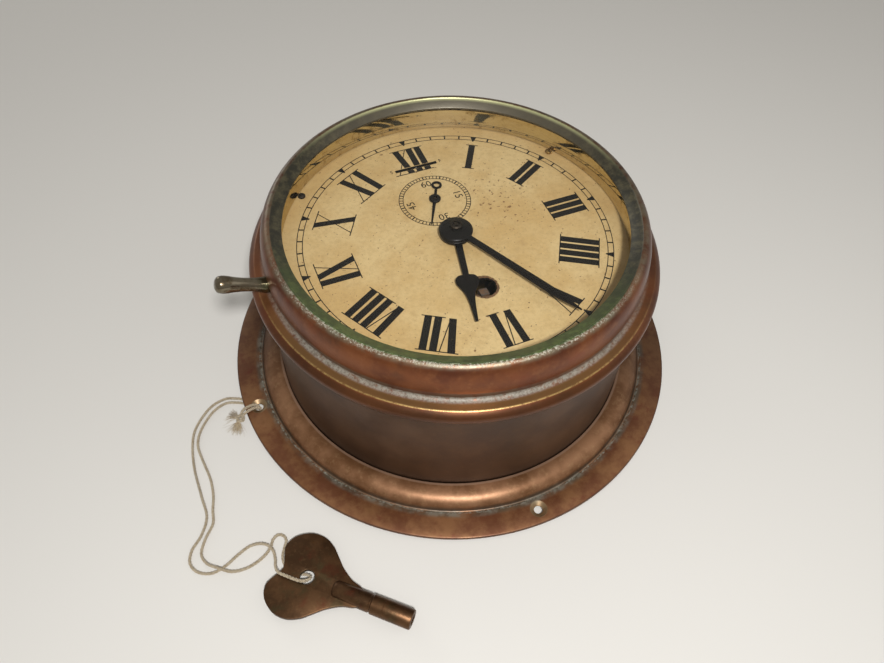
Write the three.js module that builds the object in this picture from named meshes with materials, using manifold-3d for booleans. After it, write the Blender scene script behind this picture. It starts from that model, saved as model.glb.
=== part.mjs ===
// Bulkhead ships clock with a screw bezel, its winding key and the key's cord.
// Millimetres. The back lies on z = 0, +Z leaves the dial, 12 o'clock is toward +Y.
import * as THREE from 'three';
import { mergeVertices } from 'three/addons/utils/BufferGeometryUtils.js';
import Module from 'manifold-3d';

const wasm = await Module();
wasm.setup();

// Clearances
const seatGap = 0.3;
const runningGap = 0.3;

// Case, its radii counted from the drum's
const drumRadius = 83;
const drumWall = 2.8;
const drumHeight = 60.4;
const drumFootSink = 4.2;
const backCoverThickness = 1.5;
const backCoverOverlap = 9;
const rimLift = 0.1;
const flangeWidth = 23;
const flangeFlatWidth = 11.8;
const flangeBoreStep = 6;
const flangeThickness = 1.7;
const flangeEdgeRound = 0.5;
const flangeGrooveDepth = 0.45;
const mouldingHeight = 5.2;
const flangeScrewInset = 6.3;
const flangeScrewHole = 1.9;
const flangeScrewHead = 3.7;
const flangeScrewSink = 1.2;
const flangeScrewAngles = [0, 90, 183.3, 270];
const neckStep = 2.4;
const neckHeight = 6.3;
const neckWall = 3;
const threadGap = 0.45;
const dialSeatWidth = 8.1;
const dialSeatThickness = 2.4;
const dialSeatRise = 1.8;
const coverScrewCount = 4;
const coverScrewInset = 6;
const coverScrewRadius = 1.5;
const coverScrewHead = 3;
const coverScrewLength = 5.2;

// Bezel
const bezelHeight = 25.2;
const lowerBeadOverhang = 5;
const upperBeadStep = 1.6;
const bezelGrooveStep = 2.3;
const bezelGrooveHeight = 8.6;
const bezelBoreStep = 3.7;
const bezelLipWidth = 5.1;
const bezelLipSlope = 2.8;
const bezelLipThickness = 0.6;
const glassThickness = 2;
const gasketThickness = 0.4;
const retainerWall = 1.4;
const handleRootInset = 0.8;
const handleRootHeight = 11.2;
const handleTilt = 22.2;
const handleLength = 21.8;
const handleRootThickness = 6.4;
const handleWaist = 5.4;
const handleBulb = 7.1;
const handleTenonRadius = 1.7;
const handleTenonLength = 2.6;

// Dial
const dialGap = 1.1;
const dialThickness = 1.2;
const dialScrewInset = 3.8;
const dialScrewAngles = [139.5, 29.5, -95.5];
const dialScrewHead = 2.4;
const dialScrewRadius = 1.1;
const secondsOffset = 24;
const windingOffset = 30.5;
const windingHoleRadius = 5;
const slotOffset = 47.8;
const slotLength = 20.4;
const slotWidth = 1.9;

// Movement frame
const backPlateHeight = 12;
const plateThickness = 2;
const plateDistance = 36;
const plateRadius = 68;
const pillarInset = 8;
const pillarRadius = 3.2;
const pillarPivotRadius = 1.6;
const pillarAngles = [40, 140, 220, 320];
const dialFootInset = 10;
const dialFootRadius = 2.2;
const dialFootAngles = [0, 120, 240];
const pivotRadius = 0.8;

// Going train: tooth counts, wheel thickness and height above the back plate's front
const greatTeeth = 72;
const centreLeaves = 6;
const centreTeeth = 48;
const thirdLeaves = 6;
const thirdTeeth = 45;
const fourthLeaves = 6;
const fourthTeeth = 60;
const escapeLeaves = 6;
const escapeTeeth = 15;
const centreModule = 0.66;
const thirdModule = 0.6;
const fourthModule = 0.4;
const wheelThickness = 1.6;
const leafLength = 5;
const centreWheelRise = 1.4;
const thirdWheelRise = 10.5;
const fourthWheelRise = 18.5;
const barrelRise = 5;
const barrelRadius = 25.4;
const barrelWall = 1.3;
const barrelLength = 24.6;
const barrelHubRadius = 5;
const mainspringTurns = 4;
const mainspringThickness = 0.5;

// Motion work, in front of the front plate
const cannonTeeth = 8;
const minuteTeeth = 24;
const minuteLeaves = 8;
const hourTeeth = 32;
const motionDistance = 12;
const centreArborRadius = 1.2;
const cannonPipeRadius = 2.2;
const hourPipeRadius = 3.3;

// Winding work
const windingSquare = 3.6;
const windingSink = 3;
const ratchetTeeth = 24;
const ratchetRadius = 8.5;
const clickAngle = 102;
const clickBeakAngle = 63.5;
const ratchetDepth = 1.2;
const clickThickness = 1.8;

// Escapement
const escapeRadius = 6.5;
const palletDistance = 9;
const palletPivotRadius = 0.5;
const palletClearance = 0.55;
const bridgeHeight = 6;
const bridgeThickness = 1.6;
const balanceRadius = 9;
const balanceRim = 1.5;
const regulatorArm = 10.9;
const rollerPinCircle = 1.6;
const cockHeight = 10.4;
const hairspringTurns = 3;

// Hands, from the dial's face up
const secondsHandRise = 0.6;
const hourHandRise = 1.8;
const minuteHandRise = 3.6;
const handThickness = 0.7;
const secondsHandLength = 15.4;
const secondsTailLength = 9;
const hourHandLength = 48.2;
const hourBossRadius = 7;
const hourBladeWidth = 3.2;
const hourBulbPlace = 28.4;
const hourBulbRun = 4.2;
const hourBulbWidth = 10.4;
const hourTipWidth = 1.2;
const minuteHandLength = 64.8;
const minuteBossRadius = 7.3;
const minuteBossHeight = 2.4;
const shownSeconds = 34.4;
const shownMinutes = 25.57;

// Winding key and cord
const keyEnd = [-66.8, -123.4];
const keyTurn = -43.1;
const keyPipeLength = 34;
const keyPipeRadius = 4;
const keyCollar = 17.6;
const keySocket = 4;
const keySocketDepth = 19;
const keyBowThickness = 2;
const keyBowLength = 60.1;
const keyTongue = 12;
const keyTilt = 1.7;
const keyBowHole = 3;
const keyBowHoleAlong = 46;
const cordRadius = 0.7;
const knotRadius = 2.35;

// Facets
const caseSides = 36;
const innerSides = 24;
const smallSides = 10;
const arborSides = 8;

// Radii that follow
const flangeRadius = drumRadius + flangeWidth;
const flangeGrooveRadius = flangeRadius - flangeFlatWidth;
const flangeBoreRadius = drumRadius - flangeBoreStep;
const flangeScrewCircle = flangeRadius - flangeScrewInset;
const backCoverRadius = drumRadius + backCoverOverlap;
const coverScrewCircle = backCoverRadius - coverScrewInset;
const neckRadius = drumRadius - neckStep;
const lowerBeadRadius = drumRadius + lowerBeadOverhang;
const upperBeadRadius = drumRadius - upperBeadStep;
const bezelGrooveRadius = drumRadius - bezelGrooveStep;
const bezelBoreRadius = neckRadius - bezelBoreStep;
const bezelSightRadius = bezelBoreRadius - bezelLipWidth;
const handleRootRadius = upperBeadRadius - handleRootInset;
const dialRadius = bezelBoreRadius - dialGap;
const dialScrewCircle = dialRadius - dialScrewInset;
const pillarCircle = plateRadius - pillarInset;
const dialFootCircle = plateRadius - dialFootInset;

// Heights that follow
const flangeBottom = backCoverThickness + rimLift;
const flangeTop = flangeBottom + flangeThickness;
const mouldingTop = flangeTop + mouldingHeight;
const drumBottom = mouldingTop - drumFootSink;
const shoulderTop = drumBottom + drumHeight;
const neckTop = shoulderTop + neckHeight;
const dialSeatTop = neckTop + dialSeatRise;
const dialBack = dialSeatTop + seatGap;
const dialFace = dialBack + dialThickness;
const bezelBottom = shoulderTop + seatGap;
const bezelTop = bezelBottom + bezelHeight;
const lipTop = bezelTop - 0.2 - bezelLipSlope;
const lipBottom = lipTop - bezelLipThickness;
const gasketTop = lipBottom - seatGap;
const glassTop = gasketTop - gasketThickness - seatGap;
const glassBottom = glassTop - glassThickness;
const backPlateTop = backPlateHeight + plateThickness;
const frontPlateBottom = backPlateTop + plateDistance;
const frontPlateTop = frontPlateBottom + plateThickness;

// Places on the dial that follow
const thirdArbor = meet([0, 0], (centreModule * (centreTeeth + thirdLeaves)) / 2,
  [0, secondsOffset], (thirdModule * (thirdTeeth + fourthLeaves)) / 2);
const escapeArbor = [0, secondsOffset + (fourthModule * (fourthTeeth + escapeLeaves)) / 2];
const palletArbor = [0, escapeArbor[1] + palletDistance];
const balanceArbor = [0, slotOffset + regulatorArm];
const barrelArbor = [0, -windingOffset];
const fourthArbor = [0, secondsOffset];
const minuteStud = [-motionDistance, 0];
const clickPivot = polar(ratchetRadius + 4.6, clickAngle, barrelArbor);

// Colours
const agedBrass = look(0x6b432a, 0.42, 0.85);
const darkBrass = look(0x3a2a1d, 0.55, 0.8);
const cleanBrass = look(0xb08d4c, 0.35, 0.9);
const steel = look(0x8b8d90, 0.35, 0.9);
const blackened = look(0x15130f, 0.5, 0.3);
const rusted = look(0x4a3327, 0.8, 0.3);
const cream = look(0xcdb27f, 0.75, 0);
const nickel = look(0x7d7568, 0.25, 0.95);
const clear = look(0xdfe8e2, 0.05, 0);
const cork = look(0x4b3b2a, 0.9, 0);
const cotton = look(0x9a8a74, 0.95, 0);
const bronze = look(0x33231a, 0.5, 0.7);

function look(color, roughness, metalness) {
  return new THREE.MeshStandardMaterial({ color, roughness, metalness });
}

function radians(degrees) {
  return (degrees * Math.PI) / 180;
}

function polar(radius, degrees, centre = [0, 0]) {
  const a = radians(degrees);
  return [centre[0] + radius * Math.cos(a), centre[1] + radius * Math.sin(a)];
}

// The crossing on the +X side of two circles about a and b.
function meet(a, ra, b, rb) {
  const d = Math.hypot(b[0] - a[0], b[1] - a[1]);
  const along = (d * d + ra * ra - rb * rb) / (2 * d);
  const off = Math.sqrt(ra * ra - along * along);
  const u = [(b[0] - a[0]) / d, (b[1] - a[1]) / d];
  return [a[0] + u[0] * along + u[1] * off, a[1] + u[1] * along - u[0] * off];
}

// A closed solid from any closed geometry, with its faces turned outward.
function solid(geometry) {
  const bare = geometry.clone();
  bare.deleteAttribute('normal');
  bare.deleteAttribute('uv');
  const merged = mergeVertices(bare, 1e-4);
  const at = merged.getAttribute('position');
  const corners = [];
  let volume = 0;
  const a = new THREE.Vector3();
  const b = new THREE.Vector3();
  const c = new THREE.Vector3();
  for (let i = 0; i < merged.index.count; i += 3) {
    const [p, q, r] = [0, 1, 2].map((k) => merged.index.getX(i + k));
    if (p === q || q === r || r === p) continue;
    corners.push(p, q, r);
    a.fromBufferAttribute(at, p);
    b.fromBufferAttribute(at, q);
    c.fromBufferAttribute(at, r);
    volume += a.dot(b.cross(c));
  }
  if (volume < 0) corners.reverse();
  return new wasm.Manifold(new wasm.Mesh({
    numProp: 3,
    vertProperties: new Float32Array(at.array),
    triVerts: new Uint32Array(corners),
  }));
}

function turned(profile, sides, centre = [0, 0]) {
  const points = profile.map(([r, z]) => new THREE.Vector2(r, z));
  const onAxis = profile[0][0] === 0 && profile[profile.length - 1][0] === 0;
  if (!onAxis) points.push(points[0].clone());
  const geometry = new THREE.LatheGeometry(points, sides);
  geometry.rotateX(Math.PI / 2);
  geometry.translate(centre[0], centre[1], 0);
  return solid(geometry);
}

function rod(radius, bottom, top, sides, centre = [0, 0]) {
  return turned([[0, bottom], [radius, bottom], [radius, top], [0, top]], sides, centre);
}

function pipe(inner, outer, bottom, top, sides, centre = [0, 0]) {
  return turned([[inner, bottom], [outer, bottom], [outer, top], [inner, top]], sides, centre);
}

function box(x0, x1, y0, y1, z0, z1) {
  const geometry = new THREE.BoxGeometry(x1 - x0, y1 - y0, z1 - z0);
  geometry.translate((x0 + x1) / 2, (y0 + y1) / 2, (z0 + z1) / 2);
  return solid(geometry);
}

function outline(points) {
  return new THREE.Shape(points.map(([x, y]) => new THREE.Vector2(x, y)));
}

function sheet(shape, bottom, top, curveSegments = 10) {
  const geometry = new THREE.ExtrudeGeometry(shape, {
    depth: top - bottom, bevelEnabled: false, curveSegments,
  });
  geometry.translate(0, 0, bottom);
  return solid(geometry);
}

function tube(path, radius, sides, steps) {
  const ring = [];
  for (let i = 0; i < sides; i += 1) ring.push(polar(radius, (360 * i) / sides));
  return solid(new THREE.ExtrudeGeometry(outline(ring), {
    steps, bevelEnabled: false, extrudePath: path,
  }));
}

// A smooth line whose steps fall on the chosen points themselves.
class Route extends THREE.CatmullRomCurve3 {
  constructor(points) {
    super(points.map((p) => new THREE.Vector3(...p)), false, 'centripetal');
  }

  getPointAt(u, target) {
    return this.getPoint(u, target);
  }

  getTangentAt(u, target) {
    return this.getTangent(u, target);
  }
}

function part(name, body, material) {
  const data = body.getMesh();
  const geometry = new THREE.BufferGeometry();
  geometry.setAttribute('position', new THREE.BufferAttribute(new Float32Array(data.vertProperties), 3));
  geometry.setIndex(new THREE.BufferAttribute(new Uint32Array(data.triVerts), 1));
  const mesh = new THREE.Mesh(geometry, material);
  mesh.name = name;
  return mesh;
}

function placed(mesh, [x, y], turn = 0) {
  mesh.position.set(x, y, 0);
  mesh.rotation.z = turn;
  return mesh;
}

// Outline of a toothed wheel. A tooth stands at angle 0. Feet and lands are shares of the pitch.
function toothOutline(teeth, module, { addendum, dedendum, foot, land }) {
  const pitchRadius = (module * teeth) / 2;
  const outer = pitchRadius + addendum * module;
  const inner = pitchRadius - dedendum * module;
  const points = [];
  for (let i = 0; i < teeth; i += 1) {
    const at = (r, share) => points.push(polar(r, (360 * (i + share)) / teeth));
    at(inner, -foot);
    at(outer, -land);
    if (land > 0) at(outer, land);
    at(inner, foot);
  }
  return outline(points);
}

const wheelTooth = { addendum: 0.95, dedendum: 1.1, foot: 0.3, land: 0 };
const leafTooth = { addendum: 0.75, dedendum: 1.25, foot: 0.2, land: 0.09 };

function leaves(count, module, bottom, top) {
  return sheet(toothOutline(count, module, leafTooth), bottom, top);
}

function wheelBlank(teeth, module, bore) {
  const shape = toothOutline(teeth, module, wheelTooth);
  shape.holes.push(ring(bore, smallSides));
  return shape;
}

function ring(radius, sides, centre = [0, 0]) {
  const points = [];
  for (let i = 0; i < sides; i += 1) points.push(polar(radius, (-360 * (i + 0.5)) / sides, centre));
  return outline(points);
}

// The open windows between a wheel's hub and rim, which leave straight arms.
function crossings(arms, hub, rim, armWidth) {
  const windows = [];
  for (let i = 0; i < arms; i += 1) {
    const from = (360 * i) / arms;
    const to = (360 * (i + 1)) / arms;
    const inset = (r) => (Math.asin(armWidth / 2 / r) * 180) / Math.PI;
    windows.push(outline([
      polar(hub, from + inset(hub)), polar(hub, to - inset(hub)),
      polar(rim, to - inset(rim)), polar(rim, from + inset(rim)),
    ].reverse()));
  }
  return windows;
}

// The turn that puts a gear in mesh with one already turned, both counted from +X.
function meshTurn(teeth, turn, otherTeeth, [x, y]) {
  const toward = Math.atan2(y, x);
  const phase = ((turn - toward) * teeth) / (2 * Math.PI);
  return toward + Math.PI + ((0.5 - phase) * 2 * Math.PI) / otherTeeth;
}

function between(a, b) {
  return [b[0] - a[0], b[1] - a[1]];
}

function arbor(steps, sides = arborSides) {
  const profile = [[0, steps[0][1]]];
  for (const [radius, bottom, top] of steps) profile.push([radius, bottom], [radius, top]);
  profile.push([0, steps[steps.length - 1][2]]);
  return turned(profile, sides);
}

// Case
function mountingFlange() {
  const moulding = [];
  const rise = mouldingTop - flangeTop;
  const run = flangeGrooveRadius - 0.9 - drumRadius - seatGap - 0.8;
  for (let i = 0; i <= 4; i += 1) {
    const a = radians(15 + 18.75 * i);
    moulding.push([drumRadius + seatGap + 0.8 + run * Math.cos(a), flangeTop + rise * Math.sin(a)]);
  }
  let body = turned([
    [flangeBoreRadius, flangeBottom],
    [flangeRadius, flangeBottom],
    [flangeRadius, flangeTop - flangeEdgeRound],
    [flangeRadius - flangeEdgeRound, flangeTop],
    [flangeGrooveRadius + 0.7, flangeTop],
    [flangeGrooveRadius + 0.2, flangeTop - flangeGrooveDepth],
    [flangeGrooveRadius - 0.5, flangeTop - flangeGrooveDepth],
    ...moulding,
    [drumRadius + seatGap, mouldingTop - 0.1],
    [drumRadius + seatGap, drumBottom - seatGap],
    [flangeBoreRadius, drumBottom - seatGap],
  ], caseSides);
  const flare = (flangeScrewHead - flangeScrewHole) / flangeScrewSink;
  for (const angle of flangeScrewAngles) {
    body = body.subtract(turned([
      [0, flangeBottom - 1],
      [flangeScrewHole, flangeBottom - 1],
      [flangeScrewHole, flangeTop - flangeScrewSink],
      [flangeScrewHead + flare, flangeTop + 1],
      [0, flangeTop + 1],
    ], 16, polar(flangeScrewCircle, angle)));
  }
  for (const at of coverScrewPlaces()) {
    const top = coverScrewLength + seatGap;
    body = body.subtract(rod(coverScrewRadius + seatGap, flangeBottom - 1, top, arborSides, at));
  }
  return part('mounting_flange', body, agedBrass);
}

function coverScrewPlaces() {
  const places = [];
  for (let i = 0; i < coverScrewCount; i += 1) {
    places.push(polar(coverScrewCircle, 45 + (360 * i) / coverScrewCount));
  }
  return places;
}

function backCover() {
  let body = turned([
    [0, 0], [backCoverRadius - 0.4, 0], [backCoverRadius, 0.4],
    [backCoverRadius, backCoverThickness], [0, backCoverThickness],
  ], caseSides);
  for (const at of coverScrewPlaces()) {
    body = body.subtract(rod(coverScrewRadius + seatGap, -1, backCoverThickness + 1, arborSides, at));
    body = body.subtract(turned([
      [0, -1], [coverScrewHead + seatGap, -1], [coverScrewHead + seatGap, 0.2],
      [coverScrewRadius + seatGap, coverScrewHead - coverScrewRadius + 0.2 - 0.3],
      [0, coverScrewHead - coverScrewRadius + 0.2 - 0.3],
    ], arborSides, at));
  }
  return part('back_cover', body, darkBrass);
}

function coverScrews() {
  const head = coverScrewHead - coverScrewRadius;
  const screws = coverScrewPlaces().map((at) => turned([
    [0, 0.05], [coverScrewHead - 0.1, 0.05], [coverScrewRadius, Math.min(head, backCoverThickness) - 0.25],
    [coverScrewRadius, coverScrewLength], [0, coverScrewLength],
  ], arborSides, at));
  return screws.map((body, i) => part(`cover_screw_${i + 1}`, body, steel));
}

function caseDrum() {
  const inner = drumRadius - drumWall;
  const seatInner = neckRadius - neckWall - dialSeatWidth;
  const seatOuter = bezelBoreRadius - 0.6;
  let body = turned([
    [inner, drumBottom],
    [drumRadius, drumBottom],
    [drumRadius, shoulderTop],
    [neckRadius, shoulderTop],
    [neckRadius, neckTop],
    [seatOuter, neckTop],
    [seatOuter, dialSeatTop],
    [seatInner, dialSeatTop],
    [seatInner, dialSeatTop - dialSeatThickness],
    [neckRadius - neckWall, dialSeatTop - dialSeatThickness],
    [neckRadius - neckWall, shoulderTop - 5],
    [inner, shoulderTop - 8],
  ], caseSides);
  for (const angle of dialScrewAngles) {
    const at = polar(dialScrewCircle, angle);
    body = body.subtract(rod(dialScrewRadius + seatGap, dialSeatTop - dialSeatThickness - 1,
      dialSeatTop + 1, smallSides, at));
  }
  return part('case_drum', body, darkBrass);
}

// Bezel
function handleFrame(mesh) {
  mesh.position.set(-handleRootRadius, 0, bezelBottom + handleRootHeight);
  mesh.rotation.set(0, -Math.PI / 2 + radians(handleTilt), 0);
  return mesh;
}

function inHandleFrame(body) {
  const angle = -90 + handleTilt;
  return body.rotate([0, angle, 0]).translate([-handleRootRadius, 0, bezelBottom + handleRootHeight]);
}

function bezelRing() {
  const z = bezelBottom;
  const groove = z + bezelGrooveHeight;
  let body = turned([
    [neckRadius + threadGap, z],
    [lowerBeadRadius - 2, z],
    [lowerBeadRadius - 0.3, z + 1.7],
    [lowerBeadRadius, z + 3.8],
    [lowerBeadRadius - 1, z + 6],
    [lowerBeadRadius - 2.9, z + 7.3],
    [bezelGrooveRadius, groove],
    [upperBeadRadius - 0.5, groove + 1.8],
    [upperBeadRadius, groove + 4.6],
    [upperBeadRadius - 0.1, bezelTop - 8.6],
    [upperBeadRadius - 0.6, bezelTop - 5.2],
    [upperBeadRadius - 1.4, bezelTop - 2.5],
    [upperBeadRadius - 2.6, bezelTop - 0.7],
    [upperBeadRadius - 4, bezelTop],
    [bezelBoreRadius - 0.3, bezelTop - 0.2],
    [bezelSightRadius, lipTop],
    [bezelSightRadius, lipBottom],
    [bezelBoreRadius, lipBottom],
    [bezelBoreRadius, neckTop + runningGap],
    [neckRadius + threadGap, neckTop + runningGap],
  ], caseSides);
  const seat = rod(handleRootThickness / 2 + seatGap, -seatGap, 12, 16);
  const socket = rod(handleTenonRadius + seatGap, -handleTenonLength - seatGap, 1, smallSides);
  body = body.subtract(inHandleFrame(seat)).subtract(inHandleFrame(socket));
  return part('bezel_ring', body, agedBrass);
}

function bezelHandle() {
  const l = handleLength;
  const body = turned([
    [0, -handleTenonLength],
    [handleTenonRadius, -handleTenonLength],
    [handleTenonRadius, 0],
    [handleRootThickness / 2, 0],
    [handleRootThickness / 2, 0.1 * l],
    [handleWaist / 2 + 0.1, 0.24 * l],
    [handleWaist / 2, 0.38 * l],
    [handleWaist / 2 + 0.1, 0.54 * l],
    [handleBulb / 2 - 0.3, 0.72 * l],
    [handleBulb / 2, 0.84 * l],
    [handleBulb / 2 - 0.5, 0.94 * l],
    [handleBulb / 2 - 1.7, 0.99 * l],
    [0, l],
  ], 16);
  return handleFrame(part('bezel_handle', body, nickel));
}

function glassPane() {
  const radius = bezelBoreRadius - seatGap;
  return part('glass', rod(radius, glassBottom, glassTop, caseSides), clear);
}

function glassGasket() {
  const body = pipe(bezelSightRadius + 0.4, bezelBoreRadius - seatGap, gasketTop - gasketThickness, gasketTop, caseSides);
  return part('glass_gasket', body, cork);
}

function glassRetainer() {
  const outer = bezelBoreRadius - seatGap;
  const body = turned([
    [outer - retainerWall, dialFace + seatGap],
    [outer, dialFace + seatGap],
    [outer, glassBottom - seatGap],
    [outer - retainerWall, glassBottom - seatGap],
  ], caseSides);
  return part('glass_retaining_ring', body, cleanBrass);
}

// Dial
function dialPlate() {
  const shape = new THREE.Shape();
  shape.absarc(0, 0, dialRadius, 0, 2 * Math.PI, false);
  shape.holes.push(ring(hourPipeRadius + 0.8, 16));
  shape.holes.push(ring(pivotRadius + 0.8, smallSides, fourthArbor));
  shape.holes.push(ring(windingHoleRadius, 16, barrelArbor));
  shape.holes.push(outline([
    [-slotLength / 2, slotOffset - slotWidth / 2], [-slotLength / 2, slotOffset + slotWidth / 2],
    [slotLength / 2, slotOffset + slotWidth / 2], [slotLength / 2, slotOffset - slotWidth / 2],
  ]));
  for (const angle of dialScrewAngles) {
    shape.holes.push(ring(dialScrewRadius + seatGap, smallSides, polar(dialScrewCircle, angle)));
  }
  let body = sheet(shape, dialBack, dialFace, caseSides / 2);
  for (const angle of dialFootAngles) body = body.add(dialFoot(angle));
  return part('dial_plate', body, cream);
}

function dialScrew(angle) {
  const head = dialFace + seatGap;
  return turned([
    [0, dialSeatTop - dialSeatThickness], [dialScrewRadius, dialSeatTop - dialSeatThickness],
    [dialScrewRadius, head], [dialScrewHead, head], [dialScrewHead - 0.3, head + 0.8],
    [0, head + 1.3],
  ], smallSides, polar(dialScrewCircle, angle));
}

// Movement frame
function plateShape(holes) {
  const shape = new THREE.Shape();
  shape.absarc(0, 0, plateRadius, 0, 2 * Math.PI, false);
  for (const [at, radius] of holes) shape.holes.push(ring(radius, 6, at));
  return shape;
}

function pivotHoles() {
  const radius = pivotRadius + runningGap;
  return [[[0, 0], centreArborRadius + runningGap], [thirdArbor, radius], [fourthArbor, radius],
    [escapeArbor, radius], [barrelArbor, 2 + runningGap]];
}

function backPlate() {
  const shape = plateShape(pivotHoles());
  let body = sheet(shape, backPlateHeight, backPlateTop, innerSides / 2);
  for (const angle of pillarAngles) body = body.add(pillar(angle));
  return part('back_plate', body, cleanBrass);
}

function frontPlate() {
  const small = pivotRadius + runningGap;
  const pillars = pillarAngles.map((a) => [polar(pillarCircle, a), pillarPivotRadius + seatGap]);
  const shape = plateShape([...pivotHoles(), ...pillars, [palletArbor, small], [balanceArbor, small]]);
  return part('front_plate', sheet(shape, frontPlateBottom, frontPlateTop, innerSides / 2), cleanBrass);
}

function pillar(angle) {
  return turned([
    [0, backPlateTop - 0.4],
    [pillarRadius, backPlateTop - 0.4],
    [pillarRadius, frontPlateBottom - seatGap],
    [pillarPivotRadius, frontPlateBottom - seatGap],
    [pillarPivotRadius, frontPlateTop + 2.6], [0, frontPlateTop + 2.6],
  ], arborSides, polar(pillarCircle, angle));
}

function pillarNut(angle) {
  return pipe(pillarPivotRadius + seatGap, pillarRadius, frontPlateTop + seatGap,
    frontPlateTop + 2.3, 6, polar(pillarCircle, angle));
}

function dialFoot(angle) {
  return rod(dialFootRadius, frontPlateTop + seatGap, dialBack + 0.4, arborSides,
    polar(dialFootCircle, angle));
}

// Wheels of the going train
const shownHours = 6 + shownMinutes / 60;
const handTurn = (share) => Math.PI / 2 - 2 * Math.PI * share;
const minuteTurn = handTurn(shownMinutes / 60);
const centreTurn = 0;
const thirdTurn = meshTurn(centreTeeth, centreTurn, thirdLeaves, thirdArbor);
const fourthTurn = meshTurn(thirdTeeth, thirdTurn, fourthLeaves, between(thirdArbor, fourthArbor));
const escapeTurn = meshTurn(fourthTeeth, fourthTurn, escapeLeaves, between(fourthArbor, escapeArbor));
const greatTurn = meshTurn(centreLeaves, centreTurn, greatTeeth, barrelArbor);
const cannonTurn = 0;
const minuteWheelTurn = meshTurn(cannonTeeth, cannonTurn, minuteTeeth, minuteStud);
const hourWheelTurn = meshTurn(minuteLeaves, minuteWheelTurn, hourTeeth, between(minuteStud, [0, 0]));

function trainWheel(name, teeth, module, bottom, bore, arms) {
  const root = (module * teeth) / 2 - wheelTooth.dedendum * module;
  const shape = wheelBlank(teeth, module, bore);
  shape.holes.push(...crossings(arms, bore + 1.8, root - 1.6, 1.6));
  return part(name, sheet(shape, bottom, bottom + wheelThickness), cleanBrass);
}

const greatModule = (2 * windingOffset) / (greatTeeth + centreLeaves);
const barrelBottom = backPlateTop + barrelRise;
const barrelTop = barrelBottom + barrelLength;
const greatBottom = barrelTop;
const greatTop = greatBottom + 2.4;

function barrel() {
  const shell = turned([
    [barrelRadius - barrelWall, barrelBottom],
    [barrelRadius, barrelBottom],
    [barrelRadius, barrelTop + 0.5],
    [barrelHubRadius, barrelTop + 0.5],
    [barrelHubRadius, barrelTop - 1.2],
    [barrelRadius - barrelWall, barrelTop - 1.2],
  ], innerSides);
  const shape = toothOutline(greatTeeth, greatModule, wheelTooth);
  shape.holes.push(ring(2 + runningGap, smallSides));
  const body = shell.add(sheet(shape, greatBottom, greatTop));
  return placed(part('barrel_with_great_wheel', body, cleanBrass), barrelArbor, greatTurn);
}

function barrelCover() {
  const body = pipe(2 + runningGap, barrelRadius - barrelWall - seatGap, barrelBottom + 0.1,
    barrelBottom + 1.5, innerSides);
  return placed(part('barrel_cover', body, cleanBrass), barrelArbor);
}

// A flat strip wound on edge as one unbroken band.
function woundStrip(inner, outer, turns, bottom, top, thickness, start, stepsPerTurn) {
  const steps = Math.round(turns * stepsPerTurn);
  const at = (i, offset) => {
    const t = i / steps;
    const a = start + 2 * Math.PI * turns * t;
    const r = inner + (outer - inner) * t + offset;
    return [r * Math.cos(a), r * Math.sin(a)];
  };
  const points = [];
  for (let i = 0; i <= steps; i += 1) points.push(at(i, -thickness / 2));
  for (let i = steps; i >= 0; i -= 1) points.push(at(i, thickness / 2));
  return sheet(outline(points), bottom, top);
}

function mainspring() {
  const body = woundStrip(barrelHubRadius + seatGap + 0.3, barrelRadius - barrelWall - seatGap - 0.3,
    mainspringTurns, barrelBottom + 1.8, barrelTop - 1.5, mainspringThickness, 0, 10);
  return placed(part('mainspring', body, steel), barrelArbor);
}

function windingArbor() {
  const round = arbor([
    [2, backPlateHeight, barrelBottom + 1.8],
    [barrelHubRadius, barrelBottom + 1.8, barrelTop - 1.5],
    [2, barrelTop - 1.5, frontPlateTop + 0.5],
  ], smallSides);
  const half = windingSquare / 2;
  const square = box(-half, half, -half, half, frontPlateTop + 0.2, dialFace - windingSink);
  return placed(part('winding_arbor', round.add(square), rusted), barrelArbor);
}

function ratchetWheel() {
  const points = [];
  for (let i = 0; i < ratchetTeeth; i += 1) {
    points.push(polar(ratchetRadius, (360 * i) / ratchetTeeth));
    points.push(polar(ratchetRadius - ratchetDepth, (360 * (i + 0.12)) / ratchetTeeth));
  }
  const shape = outline(points);
  const half = windingSquare / 2 + seatGap;
  shape.holes.push(outline([[-half, -half], [-half, half], [half, half], [half, -half]]));
  const body = sheet(shape, frontPlateTop + runningGap, frontPlateTop + runningGap + clickThickness);
  return placed(part('ratchet_wheel', body, steel), barrelArbor);
}

function click() {
  const bottom = frontPlateTop + runningGap;
  const beak = polar(ratchetRadius - ratchetDepth + 0.45, clickBeakAngle, barrelArbor);
  const [x, y] = between(clickPivot, beak);
  const l = Math.hypot(x, y);
  const arm = sheet(outline([
    [0, -1.3], [0.5 * l, -0.7], [0.76 * l, 0.4], [0.83 * l, 0.45], [l, 0.05], [l, 0.7],
    [0.85 * l, 1.6], [0.4 * l, 1.6], [0, 1.5],
  ]), bottom, bottom + clickThickness);
  const boss = rod(2, bottom, bottom + clickThickness, smallSides);
  const body = boss.add(arm).subtract(rod(0.9 + runningGap, bottom - 1, bottom + 9, arborSides));
  return placed(part('click', body, steel), clickPivot, Math.atan2(y, x));
}

function clickStud() {
  const body = arbor([[0.9, frontPlateTop + 0.1, frontPlateTop + runningGap + clickThickness + 0.3],
    [1.8, frontPlateTop + runningGap + clickThickness + 0.3, frontPlateTop + clickThickness + 1.3]]);
  return placed(part('click_stud', body, steel), clickPivot);
}

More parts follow.
